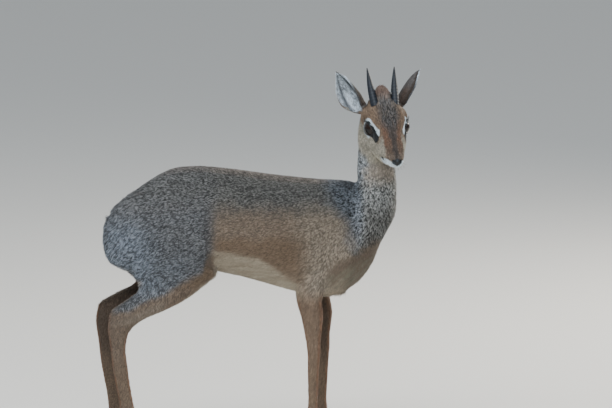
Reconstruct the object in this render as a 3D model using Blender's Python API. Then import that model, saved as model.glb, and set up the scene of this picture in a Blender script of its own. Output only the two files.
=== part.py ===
"""A Kirk's dik-dik, life size, standing still with its head turned to its right side.

Metres. X runs from the rump to the breast, Y to the animal's left, Z up from the ground.
The outlines are those of the coat's surface, with the hair lying flat.
"""

import math
import random

import bmesh
import bpy
import numpy as np
from mathutils import Matrix, Vector

GAP = 0.0003

# Side outline of the trunk: (x, height) of the back, of the underside and of the widest level
BACK = [(-0.2045, 0.326), (-0.2, 0.3405), (-0.187, 0.3575), (-0.168, 0.3705), (-0.144, 0.3845),
        (-0.107, 0.4014), (-0.078, 0.4045), (-0.031, 0.4014), (0.03, 0.3932), (0.094, 0.3865),
        (0.152, 0.3813), (0.165, 0.377)]
UNDERSIDE = [(-0.2045, 0.3), (-0.17, 0.293), (-0.12, 0.281), (-0.078, 0.265), (-0.046, 0.2535),
             (-0.009, 0.2453), (0.05, 0.2291), (0.09, 0.2195), (0.13, 0.22), (0.165, 0.256)]
GIRTH_LEVEL = [(-0.2045, 0.313), (-0.15, 0.335), (-0.05, 0.315), (0.05, 0.3), (0.165, 0.31)]
# Half the trunk's width seen from above: (x, half width)
TRUNK_HALF_WIDTH = [(-0.2045, 0.0165), (-0.196, 0.0285), (-0.175, 0.0415), (-0.14, 0.0505),
                    (-0.09, 0.0525), (-0.04, 0.052), (0.02, 0.057), (0.06, 0.056),
                    (0.1, 0.049), (0.14, 0.04), (0.165, 0.028)]

# Breast and neck, cut level by level: (height, middle x, middle y, half depth, half width)
NECK_LEVELS = [(0.219, 0.122, 0, 0.018, 0.014), (0.229, 0.1235, 0, 0.0265, 0.023),
               (0.245, 0.127, 0, 0.0365, 0.03), (0.268, 0.135, 0, 0.0435, 0.036),
               (0.293, 0.141, 0, 0.0475, 0.038), (0.315, 0.151, 0, 0.0495, 0.0365),
               (0.334, 0.16, 0, 0.0495, 0.0335), (0.356, 0.17, 0, 0.0415, 0.0295),
               (0.378, 0.1822, 0, 0.029, 0.0262), (0.4, 0.1818, -0.001, 0.0276, 0.0245),
               (0.43, 0.183, -0.003, 0.0272, 0.0245), (0.458, 0.1852, -0.006, 0.029, 0.024),
               (0.482, 0.186, -0.008, 0.025, 0.019)]

# Legs, cut level by level: (height, middle x, distance from the middle, half depth, half width)
FORE_LEG = [(0.285, 0.112, 0.024, 0.034, 0.019), (0.25, 0.097, 0.027, 0.0285, 0.0175),
            (0.222, 0.0868, 0.03, 0.0202, 0.0148), (0.19, 0.0903, 0.032, 0.0155, 0.0112),
            (0.157, 0.092, 0.0325, 0.0105, 0.009), (0.139, 0.0928, 0.0325, 0.0092, 0.0088),
            (0.122, 0.0922, 0.0325, 0.0084, 0.0078), (0.095, 0.0918, 0.0325, 0.0076, 0.0067),
            (0.06, 0.0911, 0.0325, 0.0069, 0.0064), (0.0425, 0.0908, 0.0325, 0.009, 0.0082),
            (0.0275, 0.0955, 0.0325, 0.0088, 0.0085), (0.0135, 0.1, 0.0325, 0.0105, 0.0098)]
HIND_LEG = [(0.345, -0.148, 0.021, 0.048, 0.018), (0.315, -0.1405, 0.0265, 0.0675, 0.0235),
            (0.285, -0.1308, 0.031, 0.0757, 0.0235), (0.268, -0.1225, 0.0335, 0.0745, 0.0215),
            (0.254, -0.105, 0.035, 0.063, 0.02), (0.236, -0.11, 0.0368, 0.047, 0.0178),
            (0.216, -0.134, 0.038, 0.043, 0.0155), (0.2014, -0.1585, 0.0392, 0.0385, 0.0137),
            (0.1877, -0.1758, 0.04, 0.0244, 0.0121), (0.1726, -0.1853, 0.04, 0.0161, 0.0108),
            (0.1553, -0.1864, 0.04, 0.0121, 0.0092), (0.115, -0.1829, 0.04, 0.0109, 0.0078),
            (0.067, -0.1747, 0.04, 0.0104, 0.0074), (0.0445, -0.1705, 0.04, 0.0115, 0.0092),
            (0.029, -0.1635, 0.04, 0.0098, 0.0092), (0.0135, -0.1575, 0.04, 0.0108, 0.0102)]
LEFT_FORE_AHEAD = 0.0135
LEFT_HIND_BEHIND = 0.0205
LEFT_STEPS_FROM, LEFT_STEPS_OVER = 0.255, 0.05
SHOULDER = dict(middle=(0.126, 0.0255, 0.302), radii=(0.034, 0.0205, 0.06), lean=-14)
HAUNCH = dict(middle=(-0.138, 0.0285, 0.325), radii=(0.058, 0.026, 0.048), lean=20)
DEWCLAW_ROW = -3
DEWCLAW_ASIDE = 0.0048
DEWCLAW_RADII = (0.003, 0.0026, 0.0046)
# The tail, cut square to its run: (height, x, half depth, half width)
TAIL = [(0.3385, -0.192, 0.0045, 0.0085), (0.331, -0.1995, 0.0052, 0.0095),
        (0.318, -0.2035, 0.005, 0.0092), (0.304, -0.2052, 0.0042, 0.0078),
        (0.295, -0.205, 0.0028, 0.005), (0.2915, -0.2045, 0.0012, 0.0022)]

# Cuts between the named parts
LEG_CUT = dict(point=(-0.03, 0, 0.243), normal=(0.256, 0, 1))
NECK_CUT = dict(point=(0.152, 0, 0.3813), normal=(0.63, 0, 0.8))
HEAD_CUT = dict(point=(0.182, 0, 0.4365), normal=(0, -0.46, 1))
CARPUS_LEVEL = 0.128
HOCK_LEVEL = 0.168
CORONET = 0.0195

# The head, in its own frame: u forward to the nose, v to its left, w up; middle between the eyes
HEAD_PLACE = (0.1961, -0.04, 0.4633)
HEAD_YAW, HEAD_PITCH, HEAD_ROLL = 14, 22.7, 1.7
# (u, top, bottom, half width, level of the widest place)
HEAD_STATIONS = [(-0.055, 0.013, -0.016, 0.013, 0.0), (-0.048, 0.0255, -0.032, 0.0215, -0.002),
                 (-0.036, 0.034, -0.0425, 0.0262, -0.002), (-0.022, 0.0358, -0.047, 0.0285, 0.0),
                 (-0.01, 0.0335, -0.0485, 0.0292, 0.002), (0.003, 0.0265, -0.047, 0.0284, 0.001),
                 (0.015, 0.0185, -0.0445, 0.0262, -0.005), (0.027, 0.011, -0.042, 0.0222, -0.01),
                 (0.04, 0.004, -0.0398, 0.0172, -0.015), (0.05, -0.0025, -0.0385, 0.0142, -0.019),
                 (0.058, -0.0085, -0.0355, 0.0117, -0.02), (0.0645, -0.0135, -0.0292, 0.0084, -0.02),
                 (0.0675, -0.0165, -0.0235, 0.0045, -0.02)]
# Rounded forms on each side of the face: middle and radii
FACE_FORMS = {
    "brow": ((-0.002, 0.0198, 0.0035), (0.0135, 0.0102, 0.0115)),
    "temple": ((-0.0185, 0.0205, 0.0065), (0.018, 0.0128, 0.0145)),
    "cheek": ((-0.012, 0.0155, -0.02), (0.025, 0.0115, 0.021)),
    "nostril_wing": ((0.0595, 0.005, -0.018), (0.008, 0.0055, 0.0075)),
}
EYE_RADIUS = 0.0112
EYE_PLACE = (0.0, 0.0214, 0.0005)
EYE_OUTWARD = (0.42, 1.0, 0.1)
LID_OPENING = (0.0098, 0.0072)
LID_SLANT = 12
LID_THICKNESS = 0.0013
GLAND = (0.0185, 0.0245, -0.008)
NOSTRIL = (0.0655, 0.0052, -0.0185)
MOUTH = [(0.064, 0.0, -0.0272), (0.0605, 0.0068, -0.0272), (0.053, 0.0112, -0.0278),
         (0.0445, 0.0135, -0.0288), (0.037, 0.0155, -0.0302)]
HORN_ROOT = (-0.0256, 0.0156, 0.0318)
HORN_TIP = (-0.0583, 0.02, 0.0662)
HORN_BASE_RADIUS = 0.0056

# The crest between the horns: a low core and the locks of hair that stand on it
CREST_MIDDLE = (-0.0295, 0, 0.0335)
CREST_CORE = (0.0112, 0.009, 0.0085)
CREST_LOCKS = 25
CREST_SPREAD = (0.0122, 0.0079)
CREST_WAY = (-0.42, 0, 0.9)
LOCK_LENGTH, LOCK_WIDTH, LOCK_THICKNESS = 0.0165, 0.0078, 0.0023

# Ears, in the head's frame: base, tip and the way the cup faces, for the right and the left ear
EARS = {
    "R": dict(base=(-0.0371, -0.0222, 0.0092), tip=(-0.0807, -0.0588, 0.0501),
              facing=(0.681, -0.717, 0.148), bow=(-0.0083, -0.0071), curl=0.935),
    "L": dict(base=(-0.0397, 0.0206, 0.0083), tip=(-0.089, 0.0676, 0.0422),
              facing=(-0.122, 0.987, -0.107), bow=(-0.0034, 0.0), curl=0.709),
}
EAR_HALF_WIDTH = 0.017
EAR_WALL = 0.0016

FLESH_BROWN = (0.2, 0.165, 0.135)
HORN_SLATE = (0.035, 0.04, 0.05)
EYE_DARK = (0.012, 0.008, 0.006)
HOOF_BLACK = (0.03, 0.026, 0.024)


def clear_scene():
    for thing in list(bpy.data.objects):
        bpy.data.objects.remove(thing, do_unlink=True)


def material(name, colour, roughness):
    made = bpy.data.materials.new(name)
    made.use_nodes = True
    shader = made.node_tree.nodes["Principled BSDF"]
    shader.inputs["Base Color"].default_value = (*colour, 1)
    shader.inputs["Roughness"].default_value = roughness
    shader.inputs["Metallic"].default_value = 0
    return made


def smooth_line(points, place):
    """The height at a place on a smooth line through a few (place, height) points."""
    places, heights = np.array(points, float).T
    slopes = np.gradient(heights, places)
    place = min(max(place, places[0]), places[-1])
    i = min(max(int(np.searchsorted(places, place)) - 1, 0), len(places) - 2)
    span = places[i + 1] - places[i]
    t = (place - places[i]) / span
    start = (1 + 2 * t) * (1 - t) ** 2 * heights[i] + t * (1 - t) ** 2 * span * slopes[i]
    end = t * t * (3 - 2 * t) * heights[i + 1] + t * t * (t - 1) * span * slopes[i + 1]
    return start + end


def resample(rows, count):
    """More rows on smooth lines through a few rows of numbers."""
    rows = np.array(rows, float)
    steps = np.linalg.norm(np.diff(rows[:, :2], axis=0), axis=1)
    along = np.concatenate([[0], np.cumsum(steps)])
    places = np.linspace(0, along[-1], count)
    columns = [[smooth_line(list(zip(along, column)), place) for place in places] for column in rows.T]
    return np.array(columns).T


def new_object(name, mesh):
    made = bpy.data.objects.new(name, mesh)
    bpy.context.scene.collection.objects.link(made)
    return made


def loft(name, rings, matrix=None):
    """A closed solid through rings of points, each ring with the same number of them."""
    bm = bmesh.new()
    rows = [[bm.verts.new(Vector(point)) for point in ring] for ring in rings]
    for near, far in zip(rows, rows[1:]):
        for i in range(len(near)):
            j = (i + 1) % len(near)
            bm.faces.new((near[i], near[j], far[j], far[i]))
    bm.faces.new(rows[0])
    bm.faces.new(rows[-1])
    if matrix is not None:
        bmesh.ops.transform(bm, matrix=matrix, verts=bm.verts)
    bmesh.ops.recalc_face_normals(bm, faces=bm.faces)
    mesh = bpy.data.meshes.new(name)
    bm.to_mesh(mesh)
    bm.free()
    return new_object(name, mesh)


def ellipsoid(name, middle, radii, lean=0, matrix=None):
    """A ball drawn out along its axes, leaning by some degrees about the sideways axis."""
    bm = bmesh.new()
    bmesh.ops.create_icosphere(bm, subdivisions=4, radius=1)
    place = Matrix.Translation(middle) @ Matrix.Rotation(math.radians(lean), 4, "Y")
    place = place @ Matrix.Diagonal((*radii, 1))
    if matrix is not None:
        place = matrix @ place
    bmesh.ops.transform(bm, matrix=place, verts=bm.verts)
    mesh = bpy.data.meshes.new(name)
    bm.to_mesh(mesh)
    bm.free()
    return new_object(name, mesh)


def oval(middle, across, up, half_across, half_up, count=28, fullness=1.0):
    """A ring of points about a middle, squarer where fullness is under 1."""
    ring = []
    for k in range(count):
        angle = 2 * math.pi * k / count
        c, s = math.cos(angle), math.sin(angle)
        c = math.copysign(abs(c) ** fullness, c)
        s = math.copysign(abs(s) ** fullness, s)
        ring.append(Vector(middle) + Vector(across) * half_across * c + Vector(up) * half_up * s)
    return ring


def trunk():
    rings = []
    for x in np.linspace(BACK[0][0], BACK[-1][0], 48):
        top, bottom = smooth_line(BACK, x), smooth_line(UNDERSIDE, x)
        level, half = smooth_line(GIRTH_LEVEL, x), smooth_line(TRUNK_HALF_WIDTH, x)
        ring = []
        for k in range(36):
            angle = 2 * math.pi * k / 36
            c, s = math.cos(angle), math.sin(angle)
            y = half * math.copysign(abs(c) ** 0.9, c)
            ring.append((x, y, level + s * (top - level if s > 0 else level - bottom)))
        rings.append(ring)
    return loft("trunk", rings)


def column(name, levels, matrix=None):
    """An upright form through level ovals: (height, middle x, middle y, half depth, half width)."""
    rings = []
    for z, x, y, depth, width in resample(levels, 44):
        rings.append(oval((x, y, z), (1, 0, 0), (0, 1, 0), depth, width))
    return loft(name, rings, matrix)


def limb(name, levels, side, ahead=0.0):
    """A leg on one side; its lower part stands ahead of where its levels say."""
    rows = []
    for z, x, out, depth, width in levels:
        share = smoothstep(0, LEFT_STEPS_OVER, LEFT_STEPS_FROM - z)
        rows.append((z, x + ahead * share, side * out, depth, width))
    return column(name, rows)


def joined(name, pieces):
    """One mesh object of several, left as separate shells."""
    bm = bmesh.new()
    for piece in pieces:
        bm.from_mesh(piece.data)
        bpy.data.objects.remove(piece, do_unlink=True)
    mesh = bpy.data.meshes.new(name)
    bm.to_mesh(mesh)
    bm.free()
    return new_object(name, mesh)


def modified(thing, kind, **settings):
    """Applies one modifier to an object's mesh."""
    modifier = thing.modifiers.new(kind, kind)
    for key, value in settings.items():
        setattr(modifier, key, value)
    bpy.context.view_layer.update()
    graph = bpy.context.evaluated_depsgraph_get()
    mesh = bpy.data.meshes.new_from_object(thing.evaluated_get(graph))
    thing.modifiers.clear()
    old, thing.data = thing.data, mesh
    bpy.data.meshes.remove(old)
    return thing


def one_skin(thing, voxel, smoothing):
    """Fuses the shells of a mesh into one smooth closed surface."""
    modified(thing, "REMESH", mode="VOXEL", voxel_size=voxel, adaptivity=0)
    return modified(thing, "SMOOTH", factor=0.5, iterations=smoothing)


def thinned(thing, triangles):
    """Fewer triangles, kept where the surface bends most."""
    faces = sum(len(face.vertices) - 2 for face in thing.data.polygons)
    return modified(thing, "DECIMATE", ratio=triangles / faces, use_collapse_triangulate=True)


def half(source, name, point, normal):
    """The side of a closed mesh that the normal points to, closed with a flat face."""
    bm = bmesh.new()
    bm.from_mesh(source.data)
    geometry = bm.verts[:] + bm.edges[:] + bm.faces[:]
    unit = Vector(normal).normalized()
    bmesh.ops.bisect_plane(bm, geom=geometry, dist=1e-6, plane_co=point, plane_no=unit,
                           clear_inner=True)
    rim = [edge for edge in bm.edges if edge.is_boundary]
    bmesh.ops.triangle_fill(bm, use_beauty=True, edges=rim, normal=-unit)
    bmesh.ops.recalc_face_normals(bm, faces=bm.faces)
    mesh = bpy.data.meshes.new(name)
    bm.to_mesh(mesh)
    bm.free()
    return new_object(name, mesh)


def islands(source):
    """Each closed surface of a mesh as an object of its own; the source is removed."""
    bm = bmesh.new()
    bm.from_mesh(source.data)
    bm.verts.ensure_lookup_table()
    seen, found = set(), []
    for start in bm.verts:
        if start.index in seen:
            continue
        group, queue = [], [start]
        seen.add(start.index)
        while queue:
            vertex = queue.pop()
            group.append(vertex)
            for edge in vertex.link_edges:
                other = edge.other_vert(vertex)
                if other.index not in seen:
                    seen.add(other.index)
                    queue.append(other)
        found.append(group)
    pieces = []
    for group in found:
        number = {vertex.index: k for k, vertex in enumerate(group)}
        faces = {face for vertex in group for face in vertex.link_faces}
        faces = sorted(faces, key=lambda face: face.index)
        mesh = bpy.data.meshes.new(source.name + "_part")
        mesh.from_pydata([vertex.co[:] for vertex in group], [],
                         [[number[vertex.index] for vertex in face.verts] for face in faces])
        pieces.append(new_object(source.name + "_part", mesh))
    bm.free()
    bpy.data.objects.remove(source, do_unlink=True)
    return pieces


def largest(source):
    """Only the biggest closed surface of a mesh, under the same name."""
    name = source.name
    pieces = sorted(islands(source), key=lambda piece: -len(piece.data.vertices))
    for scrap in pieces[1:]:
        bpy.data.objects.remove(scrap, do_unlink=True)
    pieces[0].name = name
    return pieces[0]


def cut(thing, cutters, keep_cutters=False):
    """Takes each cutter's shape out of a mesh."""
    for cutter in cutters:
        cutter.hide_render = True
        cutter.display_type = "WIRE"
        modified(thing, "BOOLEAN", operation="DIFFERENCE", solver="EXACT", object=cutter)
        if not keep_cutters:
            bpy.data.objects.remove(cutter, do_unlink=True)
    return thing


def head_matrix():
    """Places the head's own frame in the world: turned, bowed and tilted."""
    yaw, pitch, roll = (math.radians(angle) for angle in (HEAD_YAW, HEAD_PITCH, HEAD_ROLL))
    up = Vector((0, 0, 1))
    ahead = Vector((math.sin(yaw), -math.cos(yaw), 0))
    left = up.cross(ahead)
    forward = ahead * math.cos(pitch) - up * math.sin(pitch)
    crown = forward.cross(left)
    side = left * math.cos(roll) + crown * math.sin(roll)
    top = forward.cross(side)
    frame = Matrix((forward, side, top)).transposed().to_4x4()
    return Matrix.Translation(HEAD_PLACE) @ frame


def mirrored(point, side):
    """A place in the head's frame, given for its left side."""
    return Vector((point[0], side * point[1], point[2]))


def skull():
    """The head without ears, from the back of the skull to the nose."""
    rings = []
    for u, top, bottom, width, level in resample(HEAD_STATIONS, 40):
        ring = []
        for k in range(32):
            angle = 2 * math.pi * k / 32
            c, s = math.cos(angle), math.sin(angle)
            flat = 0.9 if s > 0 else 0.75
            v = width * math.copysign(abs(c) ** flat, c)
            ring.append((u, v, level + s * (top - level if s > 0 else level - bottom)))
        rings.append(ring)
    return loft("skull", rings)


def rod(name, start, end, start_radius, end_radius, sides=16):
    """A straight tapered rod between two places."""
    run = (Vector(end) - Vector(start)).normalized()
    across = run.orthogonal().normalized()
    up = run.cross(across)
    rings = [oval(start, across, up, start_radius, start_radius, sides),
             oval(end, across, up, end_radius, end_radius, sides)]
    return loft(name, rings)


def head_forms(to_head):
    pieces = [skull(), column("nape", NECK_LEVELS, to_head)]
    for side in (1, -1):
        for name, (middle, radii) in FACE_FORMS.items():
            pieces.append(ellipsoid(name, mirrored(middle, side), radii))
    for ear in EARS.values():
        base, tip = Vector(ear["base"]), Vector(ear["tip"])
        run = (tip - base).normalized()
        pieces.append(rod("ear_root", base - run * 0.016, base + run * 0.003, 0.0125, 0.0088))
    pieces.append(ellipsoid("crest_core", CREST_MIDDLE, CREST_CORE))
    return joined("head", pieces)


def lock(root, way, bend, across, length, width):
    """A flat tapered lock of hair that bends over towards its tip."""
    rings = []
    for t in np.linspace(0, 1, 5):
        middle = root + way * length * t + bend * length * t * t
        run = (way + bend * 2 * t).normalized()
        flat = (across - run * run.dot(across)).normalized()
        slim = 1 - 0.84 * t**2.3
        thickness = LOCK_THICKNESS * slim**0.5
        rings.append(oval(middle, flat, run.cross(flat), width * slim / 2, thickness / 2, 4))
    return loft("lock", rings)


def crest():
    """Locks that stand on the crown between the horns, lean back and overlap."""
    draw = random.Random(11)
    locks = []
    for k in range(CREST_LOCKS):
        reach = math.sqrt((k + 0.5) / CREST_LOCKS)
        angle = k * 2.4
        u = reach * math.cos(angle)
        v = reach * math.sin(angle)
        sunk = 0.001 - 0.0055 * u * abs(u) - 0.003 * reach
        root = Vector(CREST_MIDDLE) + Vector((u * CREST_SPREAD[0], v * CREST_SPREAD[1], sunk))
        aside = Vector((0.36 * u + draw.uniform(-0.08, 0.08), 0.2 * v + draw.uniform(-0.06, 0.06), 0))
        way = Vector(CREST_WAY) + aside
        bend = Vector((-0.24 + draw.uniform(-0.12, 0.08), draw.uniform(-0.16, 0.16), -0.08))
        across = Vector((-v * 0.9 + draw.uniform(-0.3, 0.3), 1.0, 0))
        length = LOCK_LENGTH * (1 - 0.2 * reach) * draw.uniform(0.88, 1.06)
        width = LOCK_WIDTH * draw.uniform(0.85, 1.15)
        locks.append(lock(root, way.normalized(), bend, across, length, width))
    return locks


def fused(thing, pieces):
    """Joins many closed pieces to a mesh as one closed surface."""
    group = bpy.data.collections.new("pieces")
    for piece in pieces:
        group.objects.link(piece)
    modified(thing, "BOOLEAN", operation="UNION", solver="EXACT", operand_type="COLLECTION",
             collection=group)
    for piece in pieces:
        bpy.data.objects.remove(piece, do_unlink=True)
    bpy.data.collections.remove(group)
    return thing


def smoothstep(low, high, value):
    t = np.clip((value - low) / (high - low), 0, 1)
    return t * t * (3 - 2 * t)


def shape_lids(points, side):
    """Wraps the skin over the eyeball and opens it in a slanted almond."""
    middle = np.array(mirrored(EYE_PLACE, side))
    outward = np.array(mirrored(EYE_OUTWARD, side))
    outward /= np.linalg.norm(outward)
    forward = np.array((1.0, 0, 0)) - outward * outward[0]
    forward /= np.linalg.norm(forward)
    up = np.cross(outward, forward) * -side
    slant = math.radians(-LID_SLANT)
    long_axis = forward * math.cos(slant) + up * math.sin(slant)
    short_axis = up * math.cos(slant) - forward * math.sin(slant)
    away = points - middle
    reach = np.linalg.norm(away, axis=1)
    near = (reach < EYE_RADIUS * 1.9) & (away @ outward > 0)
    ray = away[near] / reach[near][:, None]
    along = ray @ long_axis * EYE_RADIUS
    across = ray @ short_axis * EYE_RADIUS
    almond = np.hypot(along / LID_OPENING[0], across / LID_OPENING[1])
    facing = ray @ outward
    almond = np.where(facing > 0.2, almond, 9)
    lid = EYE_RADIUS + LID_THICKNESS * (1 + 0.5 * np.exp(-((almond - 1.25) / 0.25) ** 2))
    old = reach[near]
    wrapped = np.maximum(old, lid)
    blend = 1 - smoothstep(1.5, 2.3, almond)
    surface = old * (1 - blend) + np.where(almond < 2.4, wrapped, old) * blend
    brim = lid + 0.004 * smoothstep(1.0, 2.2, almond)
    surface = np.where(facing > 0.55, np.minimum(surface, brim), surface)
    hollow = EYE_RADIUS - 0.0022
    open_share = 1 - smoothstep(0.94, 1.06, almond)
    reach_new = surface * (1 - open_share) + hollow * open_share
    points[near] = middle + ray * reach_new[:, None]


def carve_line(points, normals, line, width, depth, lip):
    """Presses a groove along a line into the skin, with a rounded lip on both sides."""
    line = np.array(line, float)
    nearest = np.full(len(points), 9.0)
    for start, end in zip(line, line[1:]):
        run = end - start
        t = np.clip((points - start) @ run / (run @ run), 0, 1)
        nearest = np.minimum(nearest, np.linalg.norm(points - start - t[:, None] * run, axis=1))
    groove = -depth * np.exp(-((nearest / width) ** 2))
    rounded = lip * np.exp(-(((nearest - 2.2 * width) / (0.9 * width)) ** 2))
    points += normals * (groove + rounded)[:, None]


def press_pit(points, middle, radii, depth, inward):
    """Presses an oval pit into the skin."""
    away = (points - np.array(middle)) / np.array(radii)
    share = np.exp(-np.sum(away**2, axis=1) ** 1.5)
    points += np.array(inward) * (depth * share)[:, None]


def sculpt_head(head):
    mesh = head.data
    count = len(mesh.vertices)
    points = np.empty(count * 3)
    normals = np.empty(count * 3)
    mesh.vertices.foreach_get("co", points)
    mesh.vertex_normals.foreach_get("vector", normals)
    points, normals = points.reshape(-1, 3), normals.reshape(-1, 3)
    for side in (1, -1):
        shape_lids(points, side)
        mouth = [mirrored(point, side) for point in MOUTH]
        carve_line(points, normals * 0.5, mouth, 0.0012, 0.0018, 0.0007)
        inward = np.array(mirrored((-0.75, -0.6, 0.1), side))
        press_pit(points, mirrored(NOSTRIL, side), (0.004, 0.0021, 0.0024), 0.0034, inward)
        inward = np.array(mirrored((-0.4, -0.9, 0), side))
        press_pit(points, mirrored(GLAND, side), (0.006, 0.0055, 0.0036), 0.0024, inward)
    mesh.vertices.foreach_set("co", points.ravel())
    mesh.update()


def horn(name, side, swell=0.0):
    """A short straight horn, ringed towards its root."""
    root, tip = mirrored(HORN_ROOT, side), mirrored(HORN_TIP, side)
    run = tip - root
    length = run.length
    run = run.normalized()
    across = Vector((0, 1, 0)) - run * run.y
    across.normalize()
    bow = run.cross(across)
    rings = []
    for t in np.linspace(-0.2, 1, 19):
        radius = HORN_BASE_RADIUS * (1 - max(t, 0) ** 1.25) * 0.93 + 0.00055
        ridges = 0.035 * math.cos(t * 2 * math.pi * 7.4) * (1 - smoothstep(0.3, 0.6, t))
        radius = radius * (1 + ridges) + swell
        middle = root + run * length * t + bow * 0.0022 * math.sin(math.pi * t)
        rings.append(oval(middle, across, bow, radius * 0.92, radius * 1.06, 10))
    return loft(name, rings)


def ear(name, base, tip, facing, bow, curl):
    """A long leaf-shaped cup with a thin wall, open towards the way it faces."""
    base, tip = Vector(base), Vector(tip)
    run = tip - base
    length = run.length
    run = run.normalized()
    open_way = Vector(facing) - run * run.dot(Vector(facing))
    open_way.normalize()
    side_way = run.cross(open_way)
    widths = [(0, 0.45), (0.12, 0.63), (0.35, 0.98), (0.5, 1.0), (0.68, 0.86), (0.85, 0.5), (1, 0.03)]
    curls = [(0, 165), (0.1, 146), (0.25, 118), (0.5, 100), (0.8, 76), (1, 50)]
    steps = 8
    rings = []
    for t in np.concatenate([[0, 0.04], np.linspace(0.1, 1, 13)]):
        wrap = math.radians(smooth_line(curls, t)) * curl
        half_width = EAR_HALF_WIDTH * smooth_line(widths, t)
        radius = half_width / math.sin(min(wrap, math.pi / 2))
        wall = min(EAR_WALL, radius * 0.5)
        if t < 0.08:
            wall = radius * 0.9
        swing = math.sin(math.pi * t)
        middle = base + run * length * t + open_way * (radius * 0.6 + bow[1] * swing)
        middle += side_way * bow[0] * swing
        outer, inner = [], []
        for k in range(steps + 1):
            angle = wrap * (2 * k / steps - 1)
            edge = 1 - 0.45 * abs(2 * k / steps - 1) ** 3
            way = side_way * math.sin(angle) - open_way * math.cos(angle)
            outer.append(middle + way * radius)
            inner.append(middle + way * (radius - wall * edge))
        rings.append(outer + inner[::-1])
    return loft(name, rings)


def claw(name, x, y, side):
    """One half of a cloven hoof: pointed at the toe, flat on its sole and its inner side."""
    length, width = 0.0262, 0.0085
    rings = []
    for z, scale, back in ((0, 0.94, 0), (0.002, 1, 0), (0.0075, 0.93, -0.0012),
                           (0.0135, 0.78, -0.0035), (CORONET - GAP, 0.66, -0.0062)):
        ring = []
        for t in (0, 0.28, 0.55, 0.8, 1.0):
            ring.append((t, 1 - 0.88 * t**2.4))
        ring += [(1.0, 0.02), (0.8, 0.0), (0.4, 0.0), (0.08, 0.02), (-0.05, 0.25), (-0.06, 0.75)]
        points = []
        for t, out in ring:
            px = x + back + (t - 0.45) * length * scale
            py = y + side * (0.0009 + out * width * (0.75 + 0.25 * scale))
            points.append((px, py, z))
        rings.append(points)
    return loft(name, rings)


def tail(name):
    """A short tail that hangs close behind the rump."""
    rings = []
    for k, (z, x, depth, width) in enumerate(TAIL):
        before, after = TAIL[max(k - 1, 0)], TAIL[min(k + 1, len(TAIL) - 1)]
        run = Vector((after[1] - before[1], 0, after[0] - before[0])).normalized()
        across = Vector((-run.z, 0, run.x))
        rings.append(oval((x, 0, z), across, (0, 1, 0), depth, width, 14))
    return loft(name, rings)


def grown(source, name, amount):
    """A copy of a closed mesh with its surface moved outwards."""
    copy = new_object(name, source.data.copy())
    bm = bmesh.new()
    bm.from_mesh(copy.data)
    moves = [vertex.normal * amount * vertex.calc_shell_factor() for vertex in bm.verts]
    for vertex, move in zip(bm.verts, moves):
        vertex.co += move
    bm.to_mesh(copy.data)
    bm.free()
    return copy


def build_body():
    pieces = [trunk(), column("neck", NECK_LEVELS)]
    for side, ahead, behind in ((-1, 0, 0), (1, LEFT_FORE_AHEAD, LEFT_HIND_BEHIND)):
        pieces.append(limb("fore", FORE_LEG, side, ahead))
        pieces.append(limb("hind", HIND_LEG, side, -behind))
        for form in (SHOULDER, HAUNCH):
            x, y, z = form["middle"]
            pieces.append(ellipsoid("muscle", (x, side * y, z), form["radii"], form["lean"]))
        for levels, move in ((FORE_LEG, ahead), (HIND_LEG, -behind)):
            z, x, out, depth = levels[DEWCLAW_ROW][:4]
            for aside in (-DEWCLAW_ASIDE, DEWCLAW_ASIDE):
                place = (x + move - depth * 0.93, side * out + aside, z - 0.002)
                pieces.append(ellipsoid("dewclaw", place, DEWCLAW_RADII, 25))
    body = one_skin(joined("body", pieces), 0.0018, 10)
    soft = body.vertex_groups.new(name="trunk")
    for vertex in body.data.vertices:
        height = vertex.co.z
        share = smoothstep(0.24, 0.28, height) * (1 - smoothstep(0.37, 0.4, height))
        soft.add([vertex.index], share, "ADD")
    modified(body, "SMOOTH", factor=0.5, iterations=40, vertex_group="trunk")
    return thinned(body, 5000)


def part_body(body):
    """Cuts the one body into torso, neck and the two lengths of each leg."""
    leg_normal = Vector(LEG_CUT["normal"]).normalized()
    neck_normal = Vector(NECK_CUT["normal"]).normalized()
    head_normal = Vector(HEAD_CUT["normal"]).normalized()
    leg_point, neck_point = Vector(LEG_CUT["point"]), Vector(NECK_CUT["point"])
    head_point = Vector(HEAD_CUT["point"])
    above = half(body, "above", leg_point + leg_normal * GAP / 2, leg_normal)
    below = half(body, "below", leg_point - leg_normal * GAP / 2, -leg_normal)
    largest(half(above, "torso", neck_point - neck_normal * GAP / 2, -neck_normal))
    upper = half(above, "upper", neck_point + neck_normal * GAP / 2, neck_normal)
    largest(half(upper, "neck", head_point - head_normal * GAP / 2, -head_normal))
    for leg in islands(below):
        middle = sum((vertex.co for vertex in leg.data.vertices), Vector()) / len(leg.data.vertices)
        end = "fore" if middle.x > 0 else "hind"
        side = "L" if middle.y > 0 else "R"
        level = CARPUS_LEVEL if end == "fore" else HOCK_LEVEL
        largest(half(leg, f"{end}_leg_upper_{side}", (0, 0, level + GAP / 2), (0, 0, 1)))
        shank = half(leg, "shank", (0, 0, level - GAP / 2), (0, 0, -1))
        largest(half(shank, f"{end}_leg_lower_{side}", (0, 0, CORONET), (0, 0, 1)))
        for scrap in (leg, shank):
            bpy.data.objects.remove(scrap, do_unlink=True)
    for scrap in (above, upper, body):
        bpy.data.objects.remove(scrap, do_unlink=True)


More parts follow.
